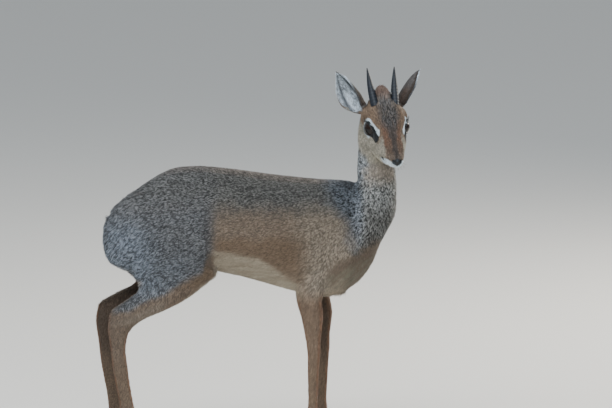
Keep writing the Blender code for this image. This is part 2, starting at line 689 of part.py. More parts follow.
def build_head():
    to_world = head_matrix()
    head = one_skin(head_forms(to_world.inverted()), 0.0009, 5)
    sculpt_head(head)
    thinned(head, 4500)
    fused(head, crest())
    for side, letter in ((1, "L"), (-1, "R")):
        ball = ellipsoid("socket", mirrored(EYE_PLACE, side), [EYE_RADIUS + GAP] * 3)
        cut(head, [ball, horn("horn_socket", side, GAP)])
        place = EARS[letter]
        base, tip = Vector(place["base"]), Vector(place["tip"])
        run = (tip - base).normalized()
        cut(head, [rod("ear_seat", base - run * GAP, base + run * 0.012, 0.0122, 0.0122)])
        horn(f"horn_{letter}", side)
        ear(f"ear_{letter}", **place)
        ellipsoid(f"eye_{letter}", mirrored(EYE_PLACE, side), [EYE_RADIUS] * 3)
        thinned(bpy.data.objects[f"eye_{letter}"], 300)
    for name in ["head"] + [f"{part}_{letter}" for part in ("horn", "ear", "eye") for letter in "LR"]:
        bpy.data.objects[name].data.transform(to_world)
    head_normal = Vector(HEAD_CUT["normal"]).normalized()
    whole = bpy.data.objects["head"]
    whole.name = "whole_head"
    head = half(whole, "head", Vector(HEAD_CUT["point"]) + head_normal * GAP / 2, head_normal)
    bpy.data.objects.remove(whole, do_unlink=True)
    head.name = "head"
    largest(head)


def build_hooves():
    for side, letter, ahead, behind in ((-1, "R", 0, 0), (1, "L", LEFT_FORE_AHEAD, LEFT_HIND_BEHIND)):
        for end, stations, move in (("fore", FORE_LEG, ahead), ("hind", HIND_LEG, -behind)):
            x, y = stations[-1][1] + 0.0035 + move, side * stations[-1][2]
            claw(f"{end}_hoof_{letter}_outer", x, y, side)
            claw(f"{end}_hoof_{letter}_inner", x, y, -side)


def build_tail():
    made = tail("tail")
    cut(bpy.data.objects["torso"], [grown(made, "tail_seat", GAP)])
    torso = largest(bpy.data.objects["torso"])
    torso.name = "torso"


def finish_nodes():
    """Gives each node its material and puts the whole animal's middle over the origin."""
    skins = {
        "horn": material("horn", HORN_SLATE, 0.45),
        "eye": material("eye", EYE_DARK, 0.08),
        "fore_hoof": material("fore_hoof", HOOF_BLACK, 0.5),
        "hind_hoof": material("hind_hoof", HOOF_BLACK, 0.5),
    }
    coat = material("coat", FLESH_BROWN, 0.85)
    nodes = [thing for thing in bpy.data.objects if thing.type == "MESH"]
    corners = np.array([vertex.co[:] for node in nodes for vertex in node.data.vertices])
    low, high = corners.min(axis=0), corners.max(axis=0)
    shift = Vector((-(low[0] + high[0]) / 2, -(low[1] + high[1]) / 2, -low[2]))
    for node in nodes:
        node.data.transform(Matrix.Translation(shift))
        bm = bmesh.new()
        bm.from_mesh(node.data)
        bmesh.ops.triangulate(bm, faces=bm.faces)
        bmesh.ops.recalc_face_normals(bm, faces=bm.faces)
        bm.to_mesh(node.data)
        bm.free()
        skin = coat
        for start, made in skins.items():
            if node.name.startswith(start):
                skin = made
        node.data.materials.clear()
        node.data.materials.append(skin)


clear_scene()
part_body(build_body())
build_head()
build_tail()
build_hooves()
finish_nodes()
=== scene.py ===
import math

import bpy
import numpy as np
from mathutils import Matrix, Vector
from mathutils.bvhtree import BVHTree


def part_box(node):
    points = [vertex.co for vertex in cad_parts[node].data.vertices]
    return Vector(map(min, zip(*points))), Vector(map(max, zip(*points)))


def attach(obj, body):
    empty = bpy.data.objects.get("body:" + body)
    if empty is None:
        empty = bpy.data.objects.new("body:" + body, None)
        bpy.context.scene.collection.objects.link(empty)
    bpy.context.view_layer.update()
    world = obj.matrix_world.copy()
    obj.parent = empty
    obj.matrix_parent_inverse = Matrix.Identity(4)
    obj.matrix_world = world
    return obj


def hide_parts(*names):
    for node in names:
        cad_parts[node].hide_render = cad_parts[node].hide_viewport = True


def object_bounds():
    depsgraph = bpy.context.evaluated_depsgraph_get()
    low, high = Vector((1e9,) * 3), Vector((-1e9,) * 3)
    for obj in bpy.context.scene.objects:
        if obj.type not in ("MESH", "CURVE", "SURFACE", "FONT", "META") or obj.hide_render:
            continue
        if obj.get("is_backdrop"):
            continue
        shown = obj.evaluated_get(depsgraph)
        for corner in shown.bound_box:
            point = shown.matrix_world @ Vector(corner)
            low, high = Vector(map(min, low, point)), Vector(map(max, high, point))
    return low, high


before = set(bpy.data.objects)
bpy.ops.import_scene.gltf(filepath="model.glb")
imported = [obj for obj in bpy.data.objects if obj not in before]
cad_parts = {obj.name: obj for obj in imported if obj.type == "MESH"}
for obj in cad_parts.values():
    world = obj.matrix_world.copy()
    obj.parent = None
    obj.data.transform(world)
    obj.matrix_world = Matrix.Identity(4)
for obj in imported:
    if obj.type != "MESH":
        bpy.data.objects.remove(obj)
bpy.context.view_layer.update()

# Hide. The skin of the whole animal from the nose to the coronets, in one piece with no seam.
# It lies under the coat by the hair's depth, and is bare only on the nose, the lids, the scent
# glands and the dewclaws.
HIDE_VOXEL = 0.001
HIDE_TRIANGLES = 150000
WELD = 2e-6

# The two sides by letter, with the sign of a place across the head.
SIDES = {"L": 1, "R": -1}
FLESH = ["head", "neck", "torso", "tail", "ear_L", "ear_R"]
for part in ("fore_leg_upper", "fore_leg_lower", "hind_leg_upper", "hind_leg_lower"):
    FLESH += [f"{part}_{side}" for side in SIDES]

# The head's own frame: u forward to the nose, v to its left, w up; its middle lies between the eyes.
HEAD_YAW, HEAD_PITCH, HEAD_ROLL = 14, 22.7, 1.7


def middle_of(node):
    low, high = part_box(node)
    return (low + high) / 2


def head_matrix():
    yaw, pitch, roll = (math.radians(angle) for angle in (HEAD_YAW, HEAD_PITCH, HEAD_ROLL))
    up = Vector((0, 0, 1))
    ahead = Vector((math.sin(yaw), -math.cos(yaw), 0))
    left = up.cross(ahead)
    forward = ahead * math.cos(pitch) - up * math.sin(pitch)
    crown = forward.cross(left)
    side = left * math.cos(roll) + crown * math.sin(roll)
    turn = Matrix((forward, side, forward.cross(side))).transposed()
    place = (middle_of("eye_L") + middle_of("eye_R")) / 2
    return Matrix.Translation(place) @ turn.to_4x4()


HEAD = head_matrix()
HEAD_TURN = np.array(HEAD.to_3x3())
HEAD_PLACE = np.array(HEAD.translation)
MIDLINE = (middle_of("fore_leg_lower_L").y + middle_of("fore_leg_lower_R").y) / 2


def in_head(points):
    """Places in the head's own frame."""
    return (points - HEAD_PLACE) @ HEAD_TURN


def mirrored(q):
    """Places on the head as if they all lay on its left side."""
    return np.column_stack((q[:, 0], np.abs(q[:, 1]), q[:, 2]))


def pick_only(thing):
    bpy.ops.object.select_all(action="DESELECT")
    thing.select_set(True)
    bpy.context.view_layer.objects.active = thing


def apply_modifier(thing, kind, **settings):
    pick_only(thing)
    modifier = thing.modifiers.new(kind.lower(), kind)
    for key, value in settings.items():
        setattr(modifier, key, value)
    bpy.ops.object.modifier_apply(modifier=modifier.name)


def thin_out(thing, triangles, **settings):
    """Reduces a mesh to about a number of triangles."""
    faces = sum(len(face.vertices) - 2 for face in thing.data.polygons)
    apply_modifier(thing, "DECIMATE", ratio=triangles / faces, use_collapse_triangulate=True, **settings)


def edit_all(thing):
    """Opens a mesh in edit mode with all of it selected."""
    pick_only(thing)
    bpy.ops.object.mode_set(mode="EDIT")
    bpy.ops.mesh.select_all(action="SELECT")


def put_in_scene(name, data):
    made = bpy.data.objects.new(name, data)
    bpy.context.scene.collection.objects.link(made)
    return made


def copy_of_node(node, name):
    """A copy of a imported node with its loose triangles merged."""
    made = put_in_scene(name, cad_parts[node].data.copy())
    edit_all(made)
    bpy.ops.mesh.remove_doubles(threshold=WELD)
    bpy.ops.object.mode_set(mode="OBJECT")
    return made


def read_all(items, field, width, kind=float):
    """One field of all the items of a mesh, a row for each item."""
    values = np.empty(len(items) * width, dtype=kind)
    items.foreach_get(field, values)
    return values.reshape(-1, width)


def vertices_of(mesh):
    return read_all(mesh.vertices, "co", 3)


def normals_of(mesh):
    return read_all(mesh.vertex_normals, "vector", 3)


def move_vertices(mesh, places):
    mesh.vertices.foreach_set("co", places.ravel())
    mesh.update()


def smooth(low, high, value):
    t = np.clip((value - low) / (high - low), 0, 1)
    return t * t * (3 - 2 * t)


def bump_of(value, middle, width):
    return np.exp(-(((value - middle) / width) ** 2))


def read_off(table, value):
    """What a table of pairs gives between its rows."""
    return np.interp(value, *zip(*table))


def unit(ways):
    return ways / np.maximum(np.linalg.norm(ways, axis=-1, keepdims=True), 1e-9)


def from_line(points, start, end):
    """Distance of points from a straight stretch, and how far along it they are."""
    start, end = np.array(start, float), np.array(end, float)
    run = end - start
    along = np.clip((points - start) @ run / (run @ run), 0, 1)
    return np.linalg.norm(points - start - along[:, None] * run, axis=1), along


# The solid locks of the crest come off the copy of the head, for finer hair takes their place. The
# copies swell a little, so that they close the gaps between the solids.
CREST_FOOT = (-0.0295, 0, 0.0395)
CREST_LEAN = (-0.3, 0, 0.95)
SWELL = 0.0004
flesh = []
for node in FLESH:
    piece = copy_of_node(node, "hide_" + node)
    if node == "head":
        edit_all(piece)
        bpy.ops.mesh.bisect(plane_co=HEAD @ Vector(CREST_FOOT), plane_no=HEAD.to_3x3() @ Vector(CREST_LEAN),
                            use_fill=True, clear_outer=True)
        bpy.ops.object.mode_set(mode="OBJECT")
    apply_modifier(piece, "DISPLACE", strength=SWELL, mid_level=0)
    flesh.append(piece)
bpy.ops.object.select_all(action="DESELECT")
for piece in flesh:
    piece.select_set(True)
bpy.context.view_layer.objects.active = flesh[0]
bpy.ops.object.join()
hide = bpy.context.view_layer.objects.active
hide.name = "hide"
apply_modifier(hide, "REMESH", mode="VOXEL", voxel_size=HIDE_VOXEL, adaptivity=0)
apply_modifier(hide, "SMOOTH", factor=0.5, iterations=6)

# The eyes, in the head's frame; the lids open in a slanted almond on the eyeball, half as long and
# half as high as its two sizes say.
EYE_PLACE = np.array((0, 0.0214, 0.0005))
EYE_RADIUS = 0.0112
EYE_OUTWARD = unit(np.array((0.42, 1, 0.1)))
LID_OPENING = (0.0098, 0.0072)
LID_SLANT = 12
EYE_AHEAD = unit(np.array((1.0, 0, 0)) - EYE_OUTWARD * EYE_OUTWARD[0])
EYE_UP = -np.cross(EYE_OUTWARD, EYE_AHEAD)
SLANT = math.radians(-LID_SLANT)
EYE_LONG = EYE_AHEAD * math.cos(SLANT) + EYE_UP * math.sin(SLANT)
EYE_SHORT = EYE_UP * math.cos(SLANT) - EYE_AHEAD * math.sin(SLANT)
NOSE_TIP = (0.0668, 0, -0.0196)
MUZZLE_MIDDLE = (0.06, 0, -0.021)
FINE_ROUND_EYE, FINE_ON_MUZZLE = 0.0185, 0.0155


def from_lids(q):
    """How far outside the lids' opening points lie, and where they lie along and across it."""
    away = mirrored(q) - EYE_PLACE
    reach = np.maximum(np.linalg.norm(away, axis=1), 1e-6)
    ray = away / reach[:, None]
    along, across = ray @ EYE_LONG, ray @ EYE_SHORT
    side = np.maximum(np.hypot(along, across), 1e-6)
    edge = 1 / np.hypot(along / side / LID_OPENING[0], across / side / LID_OPENING[1])
    edge = np.arcsin(np.clip(edge / EYE_RADIUS, 0, 1))
    turned = np.arctan2(side, ray @ EYE_OUTWARD)
    near = (reach < 0.035) & (ray @ EYE_OUTWARD > -0.2)
    return np.where(near, (turned - edge) * reach, 1), along * reach, across * reach


def fine_place(q):
    """Where the face needs smaller facets: round the eyes and on the muzzle."""
    eye = np.linalg.norm(mirrored(q) - EYE_PLACE, axis=1)
    muzzle = np.linalg.norm(q - MUZZLE_MIDDLE, axis=1)
    return (eye < FINE_ROUND_EYE) | (muzzle < FINE_ON_MUZZLE)


plain = hide.vertex_groups.new(name="plain")
plain.add([int(k) for k in np.flatnonzero(~fine_place(in_head(vertices_of(hide.data))))], 1, "REPLACE")
thin_out(hide, HIDE_TRIANGLES, vertex_group="plain")
hide.vertex_groups.clear()
fine = fine_place(in_head(vertices_of(hide.data)))
chosen = [all(fine[k] for k in face.vertices) for face in hide.data.polygons]
pick_only(hide)
bpy.ops.object.mode_set(mode="EDIT")
bpy.ops.mesh.select_all(action="DESELECT")
bpy.ops.object.mode_set(mode="OBJECT")
hide.data.polygons.foreach_set("select", chosen)
bpy.ops.object.mode_set(mode="EDIT")
bpy.ops.mesh.subdivide(number_cuts=1)
bpy.ops.mesh.select_all(action="SELECT")
bpy.ops.mesh.quads_convert_to_tris()
bpy.ops.object.mode_set(mode="OBJECT")

# Ears: base, tip and the way the cup faces, its bow and how far it is curled, in the head's frame.
# The widths and the half angles of the curl, in degrees, go from the root to the tip.
EARS = {
    "R": dict(base=(-0.0371, -0.0222, 0.0092), tip=(-0.0807, -0.0588, 0.0501),
              facing=(0.681, -0.717, 0.148), bow=(-0.0083, -0.0071), curl=0.935),
    "L": dict(base=(-0.0397, 0.0206, 0.0083), tip=(-0.089, 0.0676, 0.0422),
              facing=(-0.122, 0.987, -0.107), bow=(-0.0034, 0.0), curl=0.709),
}
EAR_HALF_WIDTH = 0.017
EAR_WALL = 0.0016
EAR_WIDTHS = [(0, 0.45), (0.12, 0.63), (0.35, 0.98), (0.5, 1.0), (0.68, 0.86), (0.85, 0.5), (1, 0.03)]
EAR_CURLS = [(0, 165), (0.1, 146), (0.25, 118), (0.5, 100), (0.8, 76), (1, 50)]
EAR_REACH = (0.029, 0.034)
EAR_ROOT = (0.03, 0.11)


def near_ear(q):
    """1 on the ears above their roots."""
    share = np.zeros(len(q))
    for ear in EARS.values():
        away, t = from_line(q, ear["base"], ear["tip"])
        share = np.maximum(share, (1 - smooth(*EAR_REACH, away)) * smooth(*EAR_ROOT, t))
    return share


def in_ear(q, side):
    """Along an ear, across its cup from the front edge (-1) to the back edge (1), and out of its wall."""
    ear = EARS[side]
    base, tip = np.array(ear["base"]), np.array(ear["tip"])
    length = np.linalg.norm(tip - base)
    run = (tip - base) / length
    facing = np.array(ear["facing"])
    opening = unit(facing - run * (run @ facing))
    aside = np.cross(run, opening)
    t = np.clip((q - base) @ run / length, 0, 1)
    wrap = np.radians(read_off(EAR_CURLS, t)) * ear["curl"]
    radius = EAR_HALF_WIDTH * read_off(EAR_WIDTHS, t) / np.sin(np.minimum(wrap, math.pi / 2))
    swing = np.sin(math.pi * t)[:, None]
    middle = base + run * length * t[:, None] + aside * ear["bow"][0] * swing
    middle += opening * (radius[:, None] * 0.6 + ear["bow"][1] * swing)
    away = q - middle
    across, behind = away @ aside, -(away @ opening)
    turned = np.arctan2(across, behind) / wrap * SIDES[side]
    return t, turned, np.hypot(across, behind) - radius + EAR_WALL / 2


# The head's flesh lies round a line through the skull; the neck and the ears begin past its reach.
SKULL = ((-0.02, 0, -0.008), (0.06, 0, -0.02))
SKULL_REACH = (0.043, 0.058)
NOSE_PAD = (0.0078, 0.0056)


def on_head(q):
    away, _ = from_line(q, *SKULL)
    return 1 - smooth(*SKULL_REACH, away)


def bare_nose(q):
    """1 on the nose pad, which is broad between the nostrils and narrow above the lip."""
    u, v, w = (q - NOSE_TIP).T
    half = 0.003 + 0.0046 * smooth(-0.0048, -0.0012, w)
    away = np.sqrt((u / NOSE_PAD[0]) ** 2 + (v / half) ** 2 + (w / NOSE_PAD[1]) ** 2)
    return 1 - smooth(0.85, 1.08, away)


# The dewclaws behind each pastern: x and height of the pair, half the gap between its two.
DEWCLAWS = {"fore": (0.0709, 0.0402, 0.0048), "hind": (-0.1927, 0.0422, 0.0048)}
DEWCLAW_SIZE = (0.0036, 0.0033, 0.0055)
LEFT_FORE_AHEAD = 0.0135
LEFT_HIND_BEHIND = 0.0205


def bare_dewclaw(points):
    nearest = np.full(len(points), 9.0)
    for end, (x, z, gap) in DEWCLAWS.items():
        for side, step in (("R", 0), ("L", LEFT_FORE_AHEAD if end == "fore" else -LEFT_HIND_BEHIND)):
            y = middle_of(f"{end}_leg_lower_{side}").y
            for aside in (-gap, gap):
                away = (points - (x + step, y + aside, z)) / DEWCLAW_SIZE
                nearest = np.minimum(nearest, np.linalg.norm(away, axis=1))
    return 1 - smooth(0.85, 1.1, nearest)


def hair_depth(points):
    """How thick the coat lies over the hide, in metres."""
    q = in_head(points)
    z = points[:, 2]
    depth = 0.0009 + 0.0017 * smooth(0.13, 0.26, z) - 0.0006 * smooth(0.36, 0.42, z)
    head = on_head(q)
    lid, _, _ = from_lids(q)
    face = 0.0012 - 0.0005 * smooth(-0.01, 0.04, q[:, 0])
    face = face * smooth(0.001, 0.006, lid) * (1 - bare_nose(q))
    depth = depth * (1 - head) + face * head
    ear = near_ear(q)
    depth = depth * (1 - ear) + 0.0003 * ear
    return depth * (1 - bare_dewclaw(points))


# Nostrils and the line of the lips on the left side, from the front back.
NOSTRIL = (0.0668, 0.0052, -0.0172)
NOSTRIL_SIZE = (0.0045, 0.0019, 0.0016)
MOUTH = [(0.0655, 0.0, -0.0262), (0.0605, 0.0068, -0.0262), (0.053, 0.0112, -0.0262),
         (0.0448, 0.0146, -0.025)]


def distance_to_mouth(q):
    nearest = np.full(len(q), 9.0)
    for start, end in zip(MOUTH, MOUTH[1:]):
        nearest = np.minimum(nearest, from_line(mirrored(q), start, end)[0])
    return nearest


def shape_face(q, ways):
    """Draws in the chin, rolls the lids round the eyeballs, opens the nostrils and parts the lips."""
    chin = smooth(0.034, 0.05, q[:, 0]) * smooth(-0.0245, -0.03, q[:, 2])
    q = q * np.column_stack((np.ones(len(q)), 1 - 0.3 * chin, np.ones(len(q))))
    q[:, 2] += chin * 0.42 * (-0.0245 - q[:, 2])
    for side in SIDES.values():
        middle = EYE_PLACE * (1, side, 1)
        away = q - middle
        reach = np.linalg.norm(away, axis=1)
        lid, _, across = from_lids(q)
        here = (np.sign(q[:, 1]) == side) & (reach < 0.02) & (lid < 0.009)
        roll = 0.0013 * smooth(-0.0001, 0.0009, lid) + 0.0006 * bump_of(lid, 0.0014, 0.0009)
        crease = -0.0007 * bump_of(lid, 0.0036, 0.0009) * smooth(-0.002, 0.004, across)
        shaped = EYE_RADIUS - 0.0012 * smooth(0.0004, -0.0004, lid) + roll + crease
        blend = 1 - smooth(0.003, 0.0075, lid)
        target = shaped * blend + reach * (1 - blend)
        moved = middle + away * (target / np.maximum(reach, 1e-6))[:, None]
        q = np.where(here[:, None], moved, q)
    pit = (mirrored(q) - NOSTRIL) / NOSTRIL_SIZE
    pit = np.exp(-np.sum(pit ** 2, axis=1) ** 1.3)
    groove = bump_of(q[:, 1], 0, 0.0006) * bump_of(q[:, 2], -0.0225, 0.0035) * smooth(0.06, 0.064, q[:, 0])
    lips = distance_to_mouth(q)
    press = 0.0012 * bump_of(lips, 0, 0.0006) - 0.0004 * bump_of(lips, 0.0015, 0.0008)
    pad = 0.0005 * bare_nose(q)
    return q + ways * (pad - 0.0024 * pit - 0.0006 * groove - press)[:, None]


# Where the hide lies deeper in the solids: place and reach in side view, depth, and the way it faces.
DRAWN_IN = [((-0.192, 0.364), (0.042, 0.036), 0.0046, (-0.7, 0, 0.7)),
            ((0.13, 0.226), (0.022, 0.014), 0.0042, (0.6, 0, -0.8))]


def drawn_in(points, ways):
    depth = np.zeros(len(points))
    for place, reach, most, way in DRAWN_IN:
        away = (points[:, ::2] - place) / reach
        depth += most * np.exp(-np.sum(away ** 2, axis=1)) * smooth(0, 0.7, ways @ np.array(way))
    return depth


points = vertices_of(hide.data)
normals = normals_of(hide.data)
points = points - normals * (hair_depth(points) + drawn_in(points, normals))[:, None]
shaped = shape_face(in_head(points), normals @ HEAD_TURN) @ HEAD_TURN.T + HEAD_PLACE
on_face = smooth(0.5, 0.9, on_head(in_head(points)))[:, None]
move_vertices(hide.data, points * (1 - on_face) + shaped * on_face)


def linear(colour):
    """An sRGB hex colour as linear values."""
    parts = np.array([int(colour[i:i + 2], 16) / 255 for i in (1, 3, 5)])
    return np.where(parts <= 0.04045, parts / 12.92, ((parts + 0.055) / 1.055) ** 2.4)


def lattice(cells, seed):
    """A fixed random value from 0 to 1 for each whole-number place."""
    cells = cells.astype(np.int64)
    mixed = cells[..., 0] * 73856093 ^ cells[..., 1] * 19349663 ^ cells[..., 2] * 83492791 ^ seed * 2654435761
    mixed = (mixed ^ (mixed >> 13)) * 1274126177 & 0xFFFFFFFF
    return ((mixed ^ (mixed >> 16)) & 0xFFFF) / 65535.0


def cloud(points, size, seed):
    """Smooth random values from -1 to 1 that change over a given size, or a size for each axis."""
    scaled = points / np.array(size) + 1000.0
    cell = np.floor(scaled)
    part = scaled - cell
    part = part * part * (3 - 2 * part)
    total = np.zeros(len(points))
    for corner in range(8):
        step = np.array((corner & 1, corner >> 1 & 1, corner >> 2 & 1))
        weight = np.prod(np.where(step, part, 1 - part), axis=1)
        total += weight * lattice(cell + step, seed)
    return total * 2 - 1


# Colours of the hair. Grey parts are peppered: dark hair with pale bands; tan parts are plainer.
FLANK_TAN = "#776a5d"
LOW_FLANK = "#736251"
SADDLE = "#585856"
BACK_BROWN = "#6a5c53"
HAUNCH_GREY = "#606265"
HAUNCH_SHADE = "#4a4a4b"
# Painted sky light: the blue cast laid on the grey of the rump.
HAUNCH_SKY_BLUE = "#61676e"
RUMP_SKY_BLUE = "#616973"
SHOULDER_SLATE = "#50565d"
SHOULDER_TAN = "#81776a"
NECK_BLUE = "#787e85"
NECK_GREY = "#7c7e7d"
LOW_NECK = "#595957"
# Painted shade in the hollow at the neck's root.
NECK_HOLLOW_SHADE = "#4a4642"
THROAT_TAN = "#948a7e"
CREAM = "#a19785"
# The breast's cream, darkened with painted shade.
SHADED_BREAST_CREAM = "#716c5d"
BREAST_BROWN = "#6a5d50"
LEG_TAN = "#746252"
HIND_TAN = "#6a5c4f"
# Rufous of the legs' edges: their tawny hair with a painted glow of light through it.
LEG_RUFOUS_RIM_GLOW = "#7a5238"
# Painted shade on the inner sides of the legs.
SHADED_LEG_INNER = "#4a3d32"
SHANK_BROWN = "#6f5e4d"
# Painted highlight on the gaskin.
GASKIN_HIGHLIGHT = "#867c70"
CROWN_DARK = "#454444"
BROW_TAN = "#6c5a4a"
RUFOUS = "#65493a"
BRIDGE_TAN = "#57483d"
BRIDGE_DARK = "#3f3631"
CHEEK = "#918c80"
JAW_PALE = "#aaa493"
WHITE_HAIR = "#d7e3ea"
LID_BLACK = "#16181b"
# Painted reflection of the sky on the moist scent gland.
GLAND_GLINT = "#4a505c"
NOSE_BLACK = "#0e0f11"
# Painted reflection of the sky on the wet nose pad.
NOSE_SKY_GLINT = "#303840"
CLAW_DARK = "#2a2622"

# Edges of the markings in side view, x then height: the belly, the breast, the grey of the thigh
# and gaskin, and the rear edge of the gaskin with its painted highlight. The last two go height
# then x: the front of the shoulder's slate, and the bluish band at the neck's root.
BELLY_TOP = [(-0.0573, 0.2884), (0, 0.2788), (0.0403, 0.2524), (0.057, 0.238)]
BREAST_TOP = [(0.1017, 0.2529), (0.1713, 0.286)]
GREY_EDGE = [(-0.203, 0.1895), (-0.1844, 0.1953), (-0.163, 0.2068), (-0.1315, 0.2212), (-0.1172, 0.2298),
             (-0.1044, 0.2428), (-0.0786, 0.2558), (-0.07, 0.2817)]
GASKIN_REAR = [(-0.1692, 0.24), (-0.1884, 0.2205), (-0.2158, 0.1998)]
SLATE_EDGE = [(0.2759, 0.15), (0.3004, 0.1399), (0.3292, 0.1256), (0.358, 0.1113), (0.4011, 0.0928)]
BLUE_BAND = [(0.296, 0.1371), (0.3148, 0.1413), (0.3436, 0.1428), (0.3795, 0.1413)]


def all_over(tone, places):
    """One hex colour at every place."""
    return np.tile(linear(tone), (len(places), 1))


def lay(colour, share, tone):
    """Lays a hex colour over others, by a share for each point."""
    return colour + (linear(tone) - colour) * np.clip(share, 0, 1)[:, None]


def near_path(lane, path):
    """How far points in side view lie from a path of straight stretches."""
    return np.min([from_line(lane, *pair)[0] for pair in zip(path, path[1:])], axis=0)


def body_markings(points, normals):
    """Colour of the coat and how peppered it is, over the body."""
    x, y, z = points.T
    wave = cloud(points, 0.02, 3) * 0.005 + cloud(points, 0.006, 4) * 0.003
    colour = all_over(FLANK_TAN, points)
    colour = lay(colour, smooth(0.03, 0.075, x + wave), SHOULDER_TAN)
    pepper = 0.4 + 0.16 * smooth(0.03, 0.075, x)
    low = smooth(0.317, 0.297, z + wave) * smooth(0.085, 0.045, x)
    colour = lay(colour, low, LOW_FLANK)
    pepper -= 0.2 * low
    saddle = smooth(0.326, 0.362, z + wave)
    colour = lay(colour, saddle, SADDLE)
    colour = lay(colour, smooth(0.8, 0.97, normals[:, 2]) * saddle * 0.4, BACK_BROWN)

    # thigh and rump
    fold = x + 0.0626 - 0.25 * np.clip(0.285 - z, 0, 0.05) + wave * 0.6
    step = np.where(y > MIDLINE, LEFT_HIND_BEHIND * smooth(0.255, 0.205, z), 0)
    outer = smooth(-0.35, 0.2, normals[:, 1] * np.sign(y - MIDLINE))
    grey = smooth(-0.008, 0.01, z - read_off(GREY_EDGE, x + step) + wave * 0.8)
    grey = grey * smooth(0.012, -0.013, fold)
    grey = grey * smooth(-0.216, -0.204, x + step + 0.6 * np.clip(z - 0.2, 0, 1))
    grey = grey * np.maximum(outer, smooth(0.255, 0.275, z))
    haunch = grey * (1 - 0.7 * smooth(0.335, 0.375, z))
    colour = lay(colour, haunch, HAUNCH_GREY)
    shade = bump_of(fold, -0.01, 0.008) * smooth(0.352, 0.33, z) * smooth(0.255, 0.28, z)
    colour = lay(colour, shade * 0.6, HAUNCH_SHADE)
    front = bump_of(fold, -0.002, 0.006) * smooth(0.285, 0.27, z) * smooth(0.22, 0.25, z)
    colour = lay(colour, front * 0.5, LOW_FLANK)
    # Painted sky light: the grey hair of the upper and lower rump is given a blue cast of the sky, in soft
    # patches.
    blue = smooth(-0.105, -0.18, x + 0.35 * (z - 0.29)) * smooth(0.355, 0.308, z + wave)
    blue = np.maximum(blue, 0.6 * smooth(0.3, 0.262, z) * smooth(-0.075, -0.12, x))
    blue = blue * smooth(0.2, 0.24, z) * grey
    colour = lay(colour, blue * 0.4, HAUNCH_SKY_BLUE)
    colour = lay(colour, blue ** 2 * (0.75 + 0.25 * cloud(points, (0.012, 0.012, 0.004), 5)), RUMP_SKY_BLUE)
    tail = bump_of(x, -0.2145, 0.0024) * smooth(0.345, 0.328, z) * smooth(0.284, 0.298, z)
    colour = lay(colour, tail * 0.6, HAUNCH_SHADE)

    # shoulder and neck
    band_place = read_off(BLUE_BAND, z)
    slate = smooth(-0.02, 0.01, x - read_off(SLATE_EDGE, z) + wave * 1.5) * smooth(0.262, 0.29, z)
    colour = lay(colour, slate * (0.75 + 0.25 * smooth(0.3, 0.345, z)), SHOULDER_SLATE)
    neck = smooth(0.0, 0.014, x - band_place + wave * 0.6) * smooth(0.262, 0.285, z)
    neck = np.maximum(neck, smooth(0.375, 0.4, z) * smooth(0.118, 0.135, x))
    colour = lay(colour, neck, NECK_GREY)
    colour = lay(colour, neck * smooth(0.375, 0.325, z), LOW_NECK)
    # Painted shade: the hollow where the neck meets the breast, in front of the shoulder, is darkened.
    hollow = np.hypot((x - 0.163) / 0.013, (z - 0.292) / 0.017)
    colour = lay(colour, smooth(1.3, 0.5, hollow + wave * 20) * 0.6, NECK_HOLLOW_SHADE)
    band = bump_of(x - band_place + wave * 0.6, 0, 0.01) * smooth(0.278, 0.305, z)
    nape = smooth(0.172, 0.15, x + wave * 0.5) * smooth(0.37, 0.4, z) * smooth(0.125, 0.14, x)
    colour = lay(colour, np.maximum(band * 0.5 * smooth(0.37, 0.34, z), nape * 0.5), NECK_BLUE)
    pepper = np.maximum.reduce([pepper, saddle * 0.9, grey * 0.85, slate * 1.25, neck * 0.52])

    # breast and belly
    breast_top = z - read_off(BREAST_TOP, x) + wave
    breast = smooth(0.02, 0.004, breast_top) * smooth(0.09, 0.112, x) * smooth(0.2, 0.215, z)
    colour = lay(colour, breast, BREAST_BROWN)
    # The pale streaks of the breast are its cream hair darkened with painted shade, as the breast lies in
    # shade underneath.
    along, across = x * 0.74 + z * 0.67, z * 0.74 - x * 0.67
    streak = cloud(np.column_stack((along, y, across)), (0.022, 0.012, 0.0021), 6)
    pale = smooth(0.002, -0.008, breast_top) * breast * np.clip(0.6 + 0.9 * streak, 0, 1)
    colour = lay(colour, pale, SHADED_BREAST_CREAM)
    belly_top = z - read_off(BELLY_TOP, x) + wave * 0.4
    belly = smooth(0.005, -0.006, belly_top) * smooth(-0.066, -0.058, x) * smooth(0.07, 0.05, x)
    under = smooth(0.35, 0.8, -normals[:, 2]) * smooth(0.33, 0.3, z) * smooth(0.2, 0.225, z)
    belly = np.maximum(belly, under * smooth(0.13, 0.11, x) * (1 - grey * 0.8))
    colour = lay(colour, belly * (0.82 + 0.4 * cloud(points, (0.02, 0.01, 0.0016), 8)), CREAM)
    pepper = pepper * (1 - 0.8 * np.maximum(belly, breast))

    # legs
    inward = smooth(0.1, 0.7, -normals[:, 1] * np.sign(y - MIDLINE))
    edge = smooth(0.55, 0.85, np.abs(normals[:, 0]))
    fore = smooth(0.235, 0.205, z) * smooth(0.0, 0.03, x)
    hind = smooth(0.262, 0.238, z + 0.35 * (x + 0.14)) * smooth(-0.045, -0.07, x) * (1 - belly) * (1 - grey)
    leg = np.maximum(fore, hind)
    colour = lay(colour, leg, LEG_TAN)
    colour = lay(colour, hind, HIND_TAN)
    # Painted shade: the legs' inner sides, which face the other legs, are darkened.
    colour = lay(colour, leg * inward * 0.9, SHADED_LEG_INNER)
    shank = smooth(0.15, 0.1, z)
    colour = lay(colour, shank * 0.6, SHANK_BROWN)
